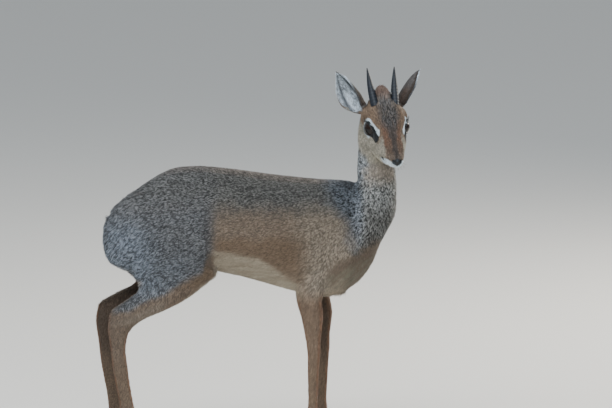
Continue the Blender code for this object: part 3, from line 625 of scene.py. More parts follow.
    # The front and back edges of the legs are rufous: partly their own tawny hair, partly a painted warm glow
    # of light through the thin hair at the silhouette.
    strand = cloud(points, (0.0016, 0.003, 0.02), 9)
    colour = lay(colour, np.maximum(leg, shank) * np.clip(edge * (0.55 + 0.3 * strand), 0, 1), LEG_RUFOUS_RIM_GLOW)
    pepper = pepper * (1 - leg) + (0.2 + 0.2 * smooth(0.19, 0.22, z)) * leg
    # Painted highlight: a pale band along the rear edge of the gaskin and below its grey, on the outer side.
    lane = np.column_stack((x + step, z))
    lit = bump_of(near_path(lane, GASKIN_REAR), 0, 0.0055)
    lit = lit * smooth(-0.155, -0.165, x + step) * smooth(0.18, 0.19, z)
    lit = np.maximum(lit, 0.8 * bump_of(z - read_off(GREY_EDGE, x + step), -0.012, 0.009)
                     * smooth(-0.12, -0.14, x + step) * smooth(0.175, 0.19, z) * (x < 0))
    colour = lay(colour, lit * outer * 0.7, GASKIN_HIGHLIGHT)
    claws = bare_dewclaw(points)
    colour = lay(colour, claws, CLAW_DARK)
    return colour, np.clip(pepper, 0, 1.25) * (1 - claws), claws


def beyond_drop(along, across, start, start_radius, end, end_radius):
    """Distance in metres outside a drop that is laid over the eye and given in millimetres."""
    lane = np.column_stack((along, across)) * 1000
    away, t = from_line(lane, start, end)
    return (away - start_radius - (end_radius - start_radius) * t) / 1000


# Half width of the dark crown that narrows to the stripe on the nose bridge, by distance ahead,
# and the height below which the lips are white, with the dark spot at the corner of the mouth.
CROWN_HALF = [(-0.03, 0.0145), (0.004, 0.0145), (0.014, 0.0118), (0.026, 0.0068), (0.04, 0.0038),
              (0.068, 0.003)]
LIP_EDGE = [(0.036, -0.0272), (0.044, -0.024), (0.05, -0.0212), (0.056, -0.0192), (0.062, -0.0188)]
MOUTH_CORNER = (0.0443, -0.0244)
CORNER_STRETCH = 1.8

# The white round the eye and the black that runs from it over the scent gland: each a drop from a
# place along and across the opening with its radius to another with its own, in millimetres.
WHITE_DROP = ((-2.6, 0.7), 12.1, (17, 4.4), 7.9)
BLACK_DROP = ((-1, 0.7), 9.7, (22.5, 0.8), 6)


def head_markings(q):
    """Colour of the coat and how peppered it is, over the head; q is in the head's frame."""
    u, v, w = mirrored(q).T
    wave = cloud(q, 0.006, 7) * 0.0016 + cloud(q, 0.0022, 8) * 0.0009
    strand = cloud(q, (0.008, 0.0011, 0.008), 12)
    colour = all_over(BROW_TAN, q)
    pepper = np.full(len(q), 0.4)
    beside = smooth(0.0112, 0.0148, v + wave)
    rufous = smooth(0.002, 0.022, u + wave) * smooth(0.0148, 0.0105, v + wave)
    colour = lay(colour, rufous * (0.78 + 0.3 * strand), RUFOUS)
    bridge = smooth(0.036, 0.05, u + wave * 2) * (1 - beside)
    colour = lay(colour, bridge * (0.85 + 0.3 * strand), BRIDGE_TAN)
    below = smooth(-0.003, -0.011, w + wave) * (1 - smooth(0.026, 0.038, u) * (1 - beside))
    cheek = np.maximum(below, beside * smooth(0.026, 0.036, u))
    colour = lay(colour, cheek, CHEEK)
    colour = lay(colour, bridge * smooth(-0.006, -0.016, w) * 0.2, CHEEK)
    colour = lay(colour, cheek * smooth(-0.0265, -0.031, w + wave) * smooth(0.004, 0.02, u) * 0.7, JAW_PALE)
    pepper = pepper * (1 - 0.15 * cheek)
    half = read_off(CROWN_HALF, u)
    crown = smooth(1.5, 0.5, (v + wave) / half) * smooth(-0.0175, -0.012, w - 0.22 * (0.06 - u))
    colour = lay(colour, crown * (0.95 + 0.3 * strand), CROWN_DARK)
    colour = lay(colour, crown * smooth(0.014, 0.03, u) * (0.75 + 0.5 * strand), BRIDGE_DARK)
    pepper = np.maximum(pepper, crown * (0.95 - 0.45 * smooth(0.014, 0.028, u)))
    neck = smooth(-0.034, -0.046, u) * smooth(0.012, -0.004, w)
    neck = np.maximum(neck, smooth(-0.046, -0.056, w + wave))
    colour = lay(colour, neck, NECK_GREY)
    colour = lay(colour, neck * smooth(0.004, -0.01, u) * 0.25, NECK_BLUE)
    pepper = np.maximum(pepper, neck * 0.48)
    lips = smooth(0.0006, -0.0006, w - read_off(LIP_EDGE, u) + wave * 0.35) * smooth(0.034, 0.041, u)
    colour = lay(colour, lips * (0.9 + 0.2 * strand), WHITE_HAIR)
    pepper = pepper * (1 - lips)
    lid, along, across = from_lids(q)
    near = np.linalg.norm(mirrored(q) - EYE_PLACE, axis=1) < 0.034
    white = beyond_drop(along, across, *WHITE_DROP)
    lower = (np.hypot((along + 0.004) / 0.0112, (across + 0.0086) / 0.0066) - 1) * 0.007
    white = smooth(0.0007, -0.0007, np.minimum(white, lower) + wave * 0.4) * near
    colour = lay(colour, white * (0.92 + 0.16 * strand), WHITE_HAIR)
    pepper = pepper * (1 - 0.85 * white)
    black = beyond_drop(along, across, *BLACK_DROP)
    black = smooth(0.0004, -0.0005, black + wave * 0.25) * near
    colour = lay(colour, black, LID_BLACK)
    # Painted reflection: a bluish grey glint of the sky on the moist scent gland, in the black between the
    # eye and the gland's dark spot.
    grey = smooth(0.0042, 0.002, np.hypot(along - 0.015, across + 0.001)) * near
    colour = lay(colour, grey * 0.8, GLAND_GLINT)
    colour = lay(colour, smooth(0.0032, 0.002, np.hypot(along - 0.025, across - 0.001)) * near, LID_BLACK)
    pepper = pepper * (1 - black)
    corner = np.hypot((u - MOUTH_CORNER[0]) / CORNER_STRETCH, w - MOUTH_CORNER[1])
    mouth = smooth(0.0014, 0.0006, distance_to_mouth(q)) * 0.6
    mouth = np.maximum(mouth, smooth(0.003, 0.0019, corner))
    colour = lay(colour, mouth, LID_BLACK)
    nose = bare_nose(q)
    colour = lay(colour, nose, NOSE_BLACK)
    # Painted reflection: bluish grey glints of the sky on the wet nose pad, between the nostrils and below
    # each one.
    wet = np.maximum(bump_of(v, 0, 0.0016) * bump_of(w, -0.0162, 0.0018),
                     bump_of(np.hypot(v - 0.0046, w + 0.0218), 0, 0.002))
    colour = lay(colour, nose * wet, NOSE_SKY_GLINT)
    pit = np.linalg.norm((mirrored(q) - NOSTRIL) / NOSTRIL_SIZE, axis=1)
    colour = lay(colour, smooth(1.2, 0.8, pit), LID_BLACK)
    bare = np.maximum(np.where(lid < 0.0016, black, 0), nose)
    gland = smooth(0.0045, 0.0035, np.hypot(along - 0.024, across - 0.001)) * near
    return colour, pepper, np.maximum(bare, gland * 0.8)


# The ears' colours: pale hair in the cup with dark lines inside its edges, dark hair behind. The
# lines' places across the cup go by how far up the ear they are.
EAR_WHITE = "#cfdbe6"
EAR_GREY = "#6f7176"
EAR_LINE = "#222429"
EAR_BACK = "#565251"
EAR_DARK = "#32271f"
EAR_RUFOUS = "#7a5338"
EAR_FRINGE = "#66533f"
FRONT_LINE = [(0, -0.2), (0.6, -0.3), (0.75, -0.5), (0.95, -0.85)]
LOW_LINE = [(0.05, 0.86), (0.4, 0.66)]


def ear_markings(q):
    """Colour of the ears' hair; q is in the head's frame."""
    colour = all_over(EAR_BACK, q)
    for side in EARS:
        here = np.sign(q[:, 1]) == SIDES[side]
        t, turned, out = in_ear(q, side)
        wave = cloud(q, 0.003, 14) * 0.08
        tone = all_over(EAR_BACK, q)
        tone = lay(tone, bump_of(turned + wave, -0.5, 0.2) * smooth(0.52, 0.3, t) * 0.3, EAR_RUFOUS)
        tone = lay(tone, smooth(-0.68, -0.84, turned + wave) * 0.85, EAR_DARK)
        tone = lay(tone, smooth(0.58, 0.36, t + wave) * smooth(0.5, 0.1, turned) * 0.6, EAR_DARK)
        tone = lay(tone, smooth(0.1, 0.02, t + wave * 0.3) * 0.7, BROW_TAN)
        tone = lay(tone, smooth(0.6, 0.85, turned) * smooth(0.78, 0.48, t) * 0.8, EAR_FRINGE)
        tone = lay(tone, smooth(0.5, 0.8, turned) * smooth(0.38, 0.3, t) * 0.8, CHEEK)
        inner = smooth(0.0002, -0.0004, out)
        tone = lay(tone, inner, EAR_WHITE)
        core = bump_of(turned + wave, 0.08, 0.3) * bump_of(t, 0.55, 0.2)
        vein = smooth(0.1, 0.5, cloud(q, (0.0045, 0.0017, 0.0035), 15)) * smooth(0.85, 0.7, np.abs(turned))
        tone = lay(tone, inner * np.maximum(core * 0.7, vein * 0.85), EAR_GREY)
        line = bump_of(turned + wave, 0.6, 0.09) * smooth(0.36, 0.44, t) * smooth(0.96, 0.9, t)
        low_line = bump_of(turned + wave, read_off(LOW_LINE, t), 0.09) * smooth(0.46, 0.4, t)
        front_line = bump_of(turned + wave, read_off(FRONT_LINE, t), 0.11) * smooth(0.02, 0.08, t)
        line = np.maximum.reduce([line, low_line, front_line])
        tone = lay(tone, inner * np.clip(line * 1.4, 0, 1), EAR_LINE)
        fold = smooth(0.02, -0.1, turned + wave - read_off(FRONT_LINE, t)) * smooth(0.85, 0.6, t)
        tone = lay(tone, inner * fold * 0.95, EAR_DARK)
        tone = lay(tone, inner * bump_of(turned, -0.05, 0.3) * smooth(0.26, 0.12, t), WHITE_HAIR)
        fringe = smooth(0.8, 0.9, turned + wave) * smooth(0.28, 0.36, t) * smooth(0.76, 0.42, t)
        tone = lay(tone, fringe * 0.85, EAR_FRINGE)
        tone = lay(tone, (np.abs(turned) > 0.95) * smooth(0.4, 0.76, t) * 0.85, EAR_WHITE)
        colour = np.where(here[:, None], tone, colour)
    return colour


def markings(points, normals):
    """Colour, pepper and bareness at points of the hide or the coat."""
    q = in_head(points)
    u, v, w = q.T
    colour, pepper, claws = body_markings(points, normals)
    face, face_pepper, bare = head_markings(q)
    head = on_head(q)[:, None]
    colour = colour * (1 - head) + face * head
    pepper = pepper * (1 - head[:, 0]) + face_pepper * head[:, 0]
    wave = cloud(points, 0.006, 4) * 0.004
    throat = smooth(-0.006, 0.006, u + wave) * smooth(-0.036, -0.046, w + wave)
    throat = throat * smooth(-0.094, -0.07, w + wave) * smooth(0.04, 0.03, np.abs(v))
    colour = lay(colour, throat * 0.85, THROAT_TAN)
    under_jaw = smooth(-0.036, -0.041, w + wave) * smooth(-0.06, -0.052, w + wave)
    under_jaw = under_jaw * smooth(-0.012, 0.002, u + wave) * smooth(0.03, 0.02, np.abs(v))
    colour = lay(colour, under_jaw * 0.75, JAW_PALE)
    pepper = pepper * (1 - 0.7 * throat)
    ear = near_ear(q)
    colour = colour * (1 - ear[:, None]) + ear_markings(q) * ear[:, None]
    pepper = pepper * (1 - ear) + 0.25 * ear
    return colour, pepper, np.maximum(bare * head[:, 0], claws)


def paint(mesh, name, colour):
    layer = mesh.color_attributes.new(name, "FLOAT_COLOR", "POINT")
    values = np.ones((len(colour), 4))
    values[:, :3] = colour
    layer.data.foreach_set("color", values.ravel())


def add_node(material, kind, links=(), **settings):
    """Adds a shader node, sets its fields and sockets and links its inputs."""
    node = material.node_tree.nodes.new(kind)
    for key, value in settings.items():
        if hasattr(node, key):
            setattr(node, key, value)
        else:
            node.inputs[key.replace("_", " ")].default_value = value
    for output, socket in links:
        material.node_tree.links.new(output, node.inputs[socket])
    return node


def new_material(name, roughness, **settings):
    made = bpy.data.materials.new(name)
    made.use_nodes = True
    shader = made.node_tree.nodes["Principled BSDF"]
    shader.inputs["Roughness"].default_value = roughness
    for key, value in settings.items():
        shader.inputs[key.replace("_", " ")].default_value = value
    return made, shader


def join(material, output, socket):
    material.node_tree.links.new(output, socket)


# Skin is leathery and slightly moist where it is bare, and dull under the hair: grains of about
# 0.9 mm and folds of 1.6 mm break the light on the nose. Under the hair it is darker than the hair.
SKIN_GRAIN, SKIN_FOLD, SKIN_RELIEF = 0.0009, 0.0016, 0.0003
hide_points, hide_normals = vertices_of(hide.data), normals_of(hide.data)
hide_colour, _, hide_bare = markings(hide_points, hide_normals)
paint(hide.data, "tint", hide_colour * (0.6 + 0.4 * hide_bare)[:, None])
paint(hide.data, "bare", np.tile(hide_bare[:, None], (1, 3)))
leather, shader = new_material("skin_of_the_hide", 0.7, Specular_IOR_Level=0.35)
tint = add_node(leather, "ShaderNodeAttribute", attribute_name="tint")
bare = add_node(leather, "ShaderNodeAttribute", attribute_name="bare")
place = add_node(leather, "ShaderNodeTexCoord")
grain = add_node(leather, "ShaderNodeTexVoronoi", [(place.outputs["Object"], "Vector")],
                 Scale=1 / SKIN_GRAIN)
folds = add_node(leather, "ShaderNodeTexNoise", [(place.outputs["Object"], "Vector")],
                 Scale=1 / SKIN_FOLD, Detail=3)
rough = add_node(leather, "ShaderNodeMapRange", [(bare.outputs["Color"], "Value")], To_Min=0.75, To_Max=0.36)
join(leather, tint.outputs["Color"], shader.inputs["Base Color"])
join(leather, rough.outputs["Result"], shader.inputs["Roughness"])
height = add_node(leather, "ShaderNodeMath", [(grain.outputs["Distance"], 0), (bare.outputs["Fac"], 1)],
                  operation="MULTIPLY")
relief = add_node(leather, "ShaderNodeBump", [(height.outputs["Value"], "Height")], Strength=0.5,
                  Distance=SKIN_RELIEF)
fine = add_node(leather, "ShaderNodeBump",
                [(folds.outputs["Fac"], "Height"), (relief.outputs["Normal"], "Normal")],
                Strength=0.3, Distance=SKIN_RELIEF)
join(leather, fine.outputs["Normal"], shader.inputs["Normal"])
hide.data.materials.clear()
hide.data.materials.append(leather)
hide.data.shade_smooth()
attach(hide, "root")
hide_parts(*FLESH)


# Coat. Short stiff hair in tufts of three flat facets, rooted in the hide and lying back along it,
# with longer hair on the rump, thigh and belly and the shortest on the face, ears and shanks.
def ear_way(shape):
    """The way an ear grows."""
    return HEAD_TURN @ unit(np.array(shape["tip"]) - shape["base"])


def lie_of_hair(points):
    """The way the hair points, before it is laid flat on the hide."""
    x, _, z = points.T
    q = in_head(points)
    count = len(points)
    ways = np.tile((-1.0, 0, -0.28), (count, 1))

    def lean(share, way):
        ways[:] += (np.array(way) - ways) * share[:, None]

    lean(smooth(-0.12, -0.19, x) * smooth(0.2, 0.25, z), (-0.7, 0, -0.7))
    lean(smooth(0.262, 0.215, z), (-0.12, 0, -1))
    lean(smooth(0.05, 0.11, x) * smooth(0.36, 0.28, z), (-0.5, 0, -0.9))
    lean(smooth(0.135, 0.16, x + 0.12 * (z - 0.36)), (-0.3, 0, -1))
    lean(smooth(0.36, 0.39, z) * smooth(0.1, 0.14, x), (-0.22, 0, -1))
    u, v, w = q.T
    face = np.column_stack((np.full(count, -1.0), v * 9, -0.15 + 14 * np.clip(w, -0.03, 0.03)))
    face[:, 2] += 0.4 * smooth(-0.02, -0.04, u)
    throat = smooth(-0.036, -0.05, w)[:, None]
    face = face * (1 - throat) + np.array((0.25, 0, -1)) * throat
    ways += (face @ HEAD_TURN.T - ways) * on_head(q)[:, None]
    ear = near_ear(q)
    for shape in EARS.values():
        here = ear * (np.sign(v) == np.sign(shape["base"][1]))
        ways += (ear_way(shape) - ways) * here[:, None]
    return ways


def hair_length(points):
    x, _, z = points.T
    q = in_head(points)
    length = 0.0036 + 0.0014 * smooth(0.12, 0.27, z)
    length += 0.0014 * smooth(-0.13, -0.19, x) * smooth(0.2, 0.24, z)
    length += 0.0035 * smooth(0.285, 0.26, z) * smooth(-0.075, -0.05, x)
    length -= 0.0012 * smooth(0.37, 0.42, z) * smooth(0.1, 0.14, x)
    face = 0.0022 + 0.0022 * smooth(0.03, -0.03, q[:, 0])
    lid, _, _ = from_lids(q)
    face = face * (0.5 + 0.5 * smooth(0.002, 0.01, lid))
    head = on_head(q)
    length = length * (1 - head) + face * head
    ear = near_ear(q)
    return length * (1 - ear) + 0.003 * ear


# An unwrap of the hide's own shape gives each tuft its place in the baked colours.
PLAN_TRIANGLES = 9000
PLAN_ANGLE, PLAN_MARGIN = math.radians(66), 0.002
plan = hide.copy()
plan.data = hide.data.copy()
plan.name = "hide_plan"
bpy.context.scene.collection.objects.link(plan)
thin_out(plan, PLAN_TRIANGLES)
edit_all(plan)
bpy.ops.uv.smart_project(angle_limit=PLAN_ANGLE, island_margin=PLAN_MARGIN)
bpy.ops.object.mode_set(mode="OBJECT")
plan_tree = BVHTree.FromPolygons([vertex.co[:] for vertex in plan.data.vertices],
                                 [face.vertices[:] for face in plan.data.polygons])
plan_points = vertices_of(plan.data)
plan_faces = read_all(plan.data.polygons, "vertices", 3, np.int64)
plan_places = read_all(plan.data.uv_layers.active.data, "uv", 2).reshape(-1, 3, 2)
bpy.data.objects.remove(plan, do_unlink=True)


def place_on_plan(roots):
    """Where each root lies on the unwrap."""
    found = np.array([plan_tree.find_nearest(Vector(root))[2] for root in roots])
    first, second, third = (plan_points[plan_faces[found, k]] for k in range(3))
    one, two, away = second - first, third - first, roots - first
    one_one, one_two, two_two = (one * one).sum(1), (one * two).sum(1), (two * two).sum(1)
    away_one, away_two = (away * one).sum(1), (away * two).sum(1)
    scale = np.maximum(one_one * two_two - one_two * one_two, 1e-18)
    by_one = np.clip((two_two * away_one - one_two * away_two) / scale, 0, 1)[:, None]
    by_two = np.clip((one_one * away_two - one_two * away_one) / scale, 0, 1)[:, None]
    corner = plan_places[found]
    return corner[:, 0] * (1 - by_one - by_two) + corner[:, 1] * by_one + corner[:, 2] * by_two


hide_faces = read_all(hide.data.polygons, "vertices", 3, np.int64)
corners = hide_points[hide_faces]
face_middles = corners.mean(axis=1)
face_sides = np.cross(corners[:, 1] - corners[:, 0], corners[:, 2] - corners[:, 0])
face_areas = np.linalg.norm(face_sides, axis=1) / 2

# A tuft's five corners on the unwrap, as steps from its root's place, and how deep its root sits.
PATCH = np.array([(-0.0012, -0.0015), (0.0012, -0.0015), (0.0012, 0), (-0.0012, 0), (0, 0.0015)])
ROOT_DEPTH = 0.0003


def tuft_mesh(name, roots, normals, ways, lengths, widths, lifts, colours, material):
    """Joins tufts into one mesh: two corners at the root, two half way and one at the tip."""
    count = len(roots)
    half = unit(np.cross(ways, normals)) * widths[:, None] / 2
    bow = normals * lifts[:, None]
    run = ways * lengths[:, None]
    foot = roots - normals * ROOT_DEPTH
    middle = roots + run * 0.5 + bow * 0.5
    rows = np.stack((foot - half, foot + half, middle + half * 0.9, middle - half * 0.9,
                     roots + run + bow), axis=1)
    mesh = bpy.data.meshes.new(name)
    mesh.vertices.add(count * 5)
    mesh.vertices.foreach_set("co", rows.astype(np.float32).ravel())
    pattern = np.array((0, 1, 2, 0, 2, 3, 3, 2, 4))
    loops = (np.arange(count)[:, None] * 5 + pattern).ravel()
    mesh.loops.add(len(loops))
    mesh.loops.foreach_set("vertex_index", loops.astype(np.int32))
    mesh.polygons.add(count * 3)
    mesh.polygons.foreach_set("loop_start", np.arange(0, count * 9, 3, dtype=np.int32))
    mesh.update(calc_edges=True)
    places = place_on_plan(roots)[:, None, :] + PATCH[None]
    layer = mesh.uv_layers.new(name="OFBake")
    layer.data.foreach_set("uv", places[:, pattern].astype(np.float32).ravel())
    paint(mesh, "tint", colours.reshape(-1, 3))
    made = put_in_scene(name, mesh)
    mesh.materials.append(material)
    mesh.shade_smooth()
    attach(made, "root")


def laid_on(ways, normals):
    """Ways with what points out of the surface taken away."""
    return ways - normals * (ways * normals).sum(axis=1)[:, None]


def on_hide(chosen, weights):
    """Places and normals inside chosen triangles of the hide."""
    places = (corners[chosen] * weights).sum(axis=1)
    return places, unit((hide_normals[hide_faces[chosen]] * weights).sum(axis=1))


def peppered(colour, pepper, tone):
    """The colour of a stretch of hair: pale where its tone is high, dark where it is low."""
    share = smooth(0.44, 0.66, tone)[:, None]
    dark = colour * (1 - 0.75 * pepper)[:, None]
    light = colour * (1 + 1.5 * pepper)[:, None]
    return dark * (1 - share) + light * share


# Hair shafts are glossy one by one but the coat scatters light: rather rough, with a faint sheen.
# Strands of 0.7 mm, coarser than real hair, are drawn so that they still show in the render.
STRAND = 0.0007
hair, shader = new_material("short_stiff_hair", 0.62, Specular_IOR_Level=0.3, Sheen_Weight=0.12,
                            Sheen_Roughness=0.5)
tint = add_node(hair, "ShaderNodeAttribute", attribute_name="tint")
place = add_node(hair, "ShaderNodeTexCoord")
strands = add_node(hair, "ShaderNodeTexNoise", [(place.outputs["Object"], "Vector")],
                   Scale=1 / STRAND, Detail=2)
shade = add_node(hair, "ShaderNodeMapRange", [(strands.outputs["Fac"], "Value")], From_Min=0.3, From_Max=0.7,
                 To_Min=0.8, To_Max=1.2)
toned = add_node(hair, "ShaderNodeVectorMath", [(tint.outputs["Color"], 0), (shade.outputs["Result"], 1)],
                 operation="MULTIPLY")
join(hair, toned.outputs["Vector"], shader.inputs["Base Color"])


def body_part(points):
    """The row in the list of coats that each point belongs to."""
    x, _, z = points.T
    q = in_head(points)
    part = np.full(len(points), 1)
    part = np.where(x < -0.095, 0, part)
    part = np.where(x > 0.045, 2, part)
    part = np.where((x > 0.045) & (z < 0.225), 4, part)
    part = np.where((x < -0.04) & (z < 0.25), 5, part)
    part = np.where((x > 0.13) & (z > 0.335), 3, part)
    part = np.where(on_head(q) > 0.5, HEAD_ROW, part)
    return np.where(near_ear(q) > 0.5, EAR_ROW, part)


# Name, tufts, their width and the grain of the pepper, which is longer where it runs into streaks.
# The grain of the last two rows goes by the head's frame.
COATS = [
    ("coat_of_the_rump", 66000, 0.0008, (0.0008, 0.0009, 0.0009)),
    ("coat_of_the_flanks", 66000, 0.0008, (0.0008, 0.0009, 0.0009)),
    ("coat_of_the_shoulders", 66000, 0.0008, (0.0008, 0.0009, 0.001)),
    ("coat_of_the_neck", 50000, 0.0007, (0.0009, 0.0009, 0.0018)),
    ("coat_of_the_forelegs", 40000, 0.0006, (0.0012, 0.0012, 0.004)),
    ("coat_of_the_hindlegs", 52000, 0.00065, (0.0012, 0.0012, 0.0018)),
    ("coat_of_the_head", 66000, 0.00045, (0.003, 0.0009, 0.003)),
    ("coat_of_the_ears", 30000, 0.0004, (0.003, 0.0012, 0.003)),
]
HEAD_ROW, EAR_ROW = 6, 7

# How far along a hair the markings are read for its colour, how its length and width vary, how far
# it strays from the lie of the hair, and how much its tone varies.
SHOWN = 0.8
SPREAD = (0.7, 1.2)
STRAY = 0.12
TONE_SPREAD = 0.2


def tone_of(points, grain, number):
    """A random tone from about 0 to 1 for each place, with level rows on the rump."""
    if number >= HEAD_ROW:
        return 0.5 + 0.44 * cloud(in_head(points), grain, 40)
    x, _, z = points.T
    rows = smooth(-0.13, -0.17, x) * smooth(0.335, 0.31, z) * smooth(0.22, 0.25, z)
    level = cloud(points, (0.0022, 0.0015, 0.0009), 41)
    return 0.5 + 0.44 * (cloud(points, grain, 40) * (1 - rows) + level * rows)


parts = body_part(face_middles)
middle_normals = unit(hide_normals[hide_faces].sum(axis=1))
_, _, face_bare = markings(face_middles, middle_normals)
face_lids, _, _ = from_lids(in_head(face_middles))
share_of_face = face_areas * (1 - np.clip(face_bare * 1.2, 0, 1)) * (face_lids > 0.0014)
for number, (name, count, width, grain) in enumerate(COATS):
    draw = np.random.default_rng(100 + number)
    share = np.where(parts == number, share_of_face, 0)
    chosen = draw.choice(len(share), count, p=share / share.sum())
    a, b = draw.random(count), draw.random(count)
    a, b = np.where(a + b > 1, 1 - a, a), np.where(a + b > 1, 1 - b, b)
    roots, normals = on_hide(chosen, np.stack((1 - a - b, a, b), axis=1)[:, :, None])
    ways = unit(lie_of_hair(roots))
    swirl = np.stack([cloud(roots, 0.009, 20 + k) for k in range(3)], axis=1) * 0.1
    ways = unit(laid_on(ways + swirl + draw.normal(0, STRAY, (count, 3)), normals))
    lengths = hair_length(roots) * draw.uniform(*SPREAD, count)
    lifts = hair_depth(roots) * draw.uniform(0.5, 1.1, count) + 0.0002
    shown = roots + ways * lengths[:, None] * SHOWN
    colour, pepper, _ = markings(shown, normals)
    turn = draw.uniform(-0.6, 0.6, count)[:, None]
    tilted = unit(normals * np.cos(turn) + np.cross(ways, normals) * np.sin(turn))
    colour = colour * draw.uniform(0.9, 1.1, count)[:, None]
    band = peppered(colour, pepper, tone_of(shown, grain, number) + draw.normal(0, TONE_SPREAD, count))
    bands = np.stack((colour * 0.5, colour * 0.5, band, band, band), axis=1)
    tuft_mesh(name, roots, tilted, ways, lengths, width * draw.uniform(*SPREAD, count), lifts, bands, hair)


# Crest. A tuft of longer reddish hair that stands between the horns and leans a little back. Its
# front hairs are streaked dark, lie back on the tuft and run down into the crown's hair.
CREST_MIDDLE = np.array((-0.0285, -0.0014, 0.0335))
CREST_WAY = unit(np.array((-0.42, 0, 0.9)))
CREST_HEIGHT = 0.0152
CREST_SPREAD = (0.0185, 0.0105)
CREST_TUFTS = 18000
CREST_HAIR = "#766259"
CREST_DARK = "#4b4038"
away = in_head(face_middles) - CREST_MIDDLE
across_crest = np.hypot(away[:, 0] / CREST_SPREAD[0], away[:, 1] / CREST_SPREAD[1])
share = np.where((across_crest < 1.1) & (away[:, 2] > -0.012), face_areas * smooth(1.1, 0.9, across_crest), 0)
draw = np.random.default_rng(300)
chosen = draw.choice(len(share), CREST_TUFTS, p=share / share.sum())
roots, normals = on_hide(chosen, draw.dirichlet((1, 1, 1), CREST_TUFTS)[:, :, None])
away = in_head(roots) - CREST_MIDDLE
out = np.column_stack((away[:, 0] / CREST_SPREAD[0], away[:, 1] / CREST_SPREAD[1]))
rim = np.linalg.norm(out, axis=1)
front = smooth(-0.1, 0.9, out[:, 0])
rise = CREST_HEIGHT * np.sqrt(1 - 0.93 * np.minimum(rim, 1) ** 2) * draw.uniform(0.6, 1.03, CREST_TUFTS)
tips = CREST_MIDDLE + CREST_WAY * rise[:, None]
tips[:, 0] += away[:, 0] * (0.88 - 0.38 * front) - 0.0012
tips[:, 1] += away[:, 1] * 0.9
tips += draw.normal(0, 0.0006, (CREST_TUFTS, 3))
ways = tips @ HEAD_TURN.T + HEAD_PLACE - roots
lengths = np.maximum(np.linalg.norm(ways, axis=1), 0.003)
ways = unit(ways)
outward = unit(laid_on(normals, ways) + draw.normal(0, 0.35, (CREST_TUFTS, 3)))
colour = all_over(CREST_HAIR, roots) * draw.uniform(0.75, 1.22, CREST_TUFTS)[:, None]
streak = smooth(0.05, 0.45, cloud(np.column_stack((away[:, :2], away[:, 2] * 0)), (0.004, 0.0012, 1), 60))
colour = lay(colour, front * 0.45 + streak * (0.25 + 0.4 * front), CREST_DARK)
crown_colour, _, _ = markings(roots, normals)
merged = smooth(0.55, 1.05, rim * (0.75 + 0.25 * front))[:, None]
colour = colour * (1 - merged) + crown_colour * merged
band = peppered(colour, 0.25 + 0.5 * front, draw.random(CREST_TUFTS))
bands = np.stack((colour * 0.45, colour * 0.45, band, band, band), axis=1)
tuft_mesh("crest_hair", roots, outward, ways, lengths, draw.uniform(0.0004, 0.0008, CREST_TUFTS),
          lengths * 0.1, bands, hair)


# Ear hair. Long pale hairs rooted in the cup, which lie over its thin skin towards the tip and the
# middle, and a short fringe that stands out along the front edge, dark below and pale above.
EAR_TUFTS = 3600
FRINGE_TUFTS = 420
HAIR_LINE = [(0.05, 0.86), (0.4, 0.62)]
for side in SIDES:
    draw = np.random.default_rng(400 + ord(side))
    q = in_head(face_middles)
    t, turned, out = in_ear(q, side)
    here = (np.sign(q[:, 1]) == SIDES[side]) & (near_ear(q) > 0.3)
    cup = face_areas * (0.4 + np.abs(turned)) * smooth(1, 0.8, t) * smooth(0.02, 0.1, t)
    cup = np.where(here & (out < 0) & (turned < 0.9) & (turned > read_off(FRONT_LINE, t)), cup, 0)
    rim = np.where(here & (turned < -0.93) & (t > 0.12) & (t < 0.9), face_areas, 0)
    chosen = np.concatenate((draw.choice(len(cup), EAR_TUFTS, p=cup / cup.sum()),
                             draw.choice(len(rim), FRINGE_TUFTS, p=rim / rim.sum())))
    count = len(chosen)
    fringe = np.arange(count) >= EAR_TUFTS
    roots = (corners[chosen] * draw.dirichlet((1, 1, 1), count)[:, :, None]).sum(axis=1)
    normals = middle_normals[chosen]
    t, turned, _ = in_ear(in_head(roots), side)
    shape = EARS[side]
    run = ear_way(shape)
    aside = np.cross(run, HEAD_TURN @ np.array(shape["facing"])) * SIDES[side]
    lean = np.where(fringe, -0.75, -0.55 * turned)
    ways = unit(run + aside * lean[:, None] + draw.normal(0, 0.14, (count, 3)))
    ways = np.where(fringe[:, None], ways, unit(laid_on(ways, normals)))
    lengths = np.where(fringe, draw.uniform(0.0022, 0.0042, count),
                       draw.uniform(0.0045, 0.009, count) * (1 - 0.45 * t))
    colour = all_over(EAR_WHITE, roots) * draw.uniform(0.7, 1.3, count)[:, None]
    lines = bump_of(turned, read_off(HAIR_LINE, t), 0.11)
    lines = lines + bump_of(turned, read_off(FRONT_LINE, t), 0.1)
    mottle = smooth(0.1, 0.4, cloud(in_head(roots), (0.004, 0.0022, 0.003), 61))
    dark = np.maximum.reduce([np.clip(lines, 0, 1) * 0.9, mottle * 0.6, 0.8 * (draw.random(count) < 0.18)])
    dark = np.where(fringe, smooth(0.74, 0.42, t) * 0.9, dark)
    colour = lay(colour, dark, EAR_LINE)
    bands = np.stack((colour * 0.6, colour * 0.6, colour, colour, colour * 1.1), axis=1)
    tuft_mesh(f"ear_hair_{side}", roots, normals, ways, lengths, draw.uniform(0.0003, 0.0005, count),
              np.where(fringe, 0.0002, draw.uniform(0.0006, 0.0018, count)), bands, hair)


# Eyes. Large dark eyeballs with a brown iris and a level slot of a pupil, wet and glossy. The
# lids' dark moist rims lie round them, and long lashes stand out of the upper rim.
EYE_DARK, IRIS_BROWN, PUPIL_BLACK = "#0a0809", "#1f110a", "#050507"
CORNEA_RISE = 0.0006
RIM_BLACK = "#17181b"
RIM_HALF = 0.0008
RIM_FOLD = 0.0012

# Cosines of the angle from the way the eye looks, where the iris and the pupil fade in, and the
# sines of the angle above and below it, where the slot of the pupil fades out.
IRIS_EDGE, PUPIL_EDGE = (0.6, 0.7), (0.76, 0.86)
PUPIL_SLOT = (0.2, 0.3)


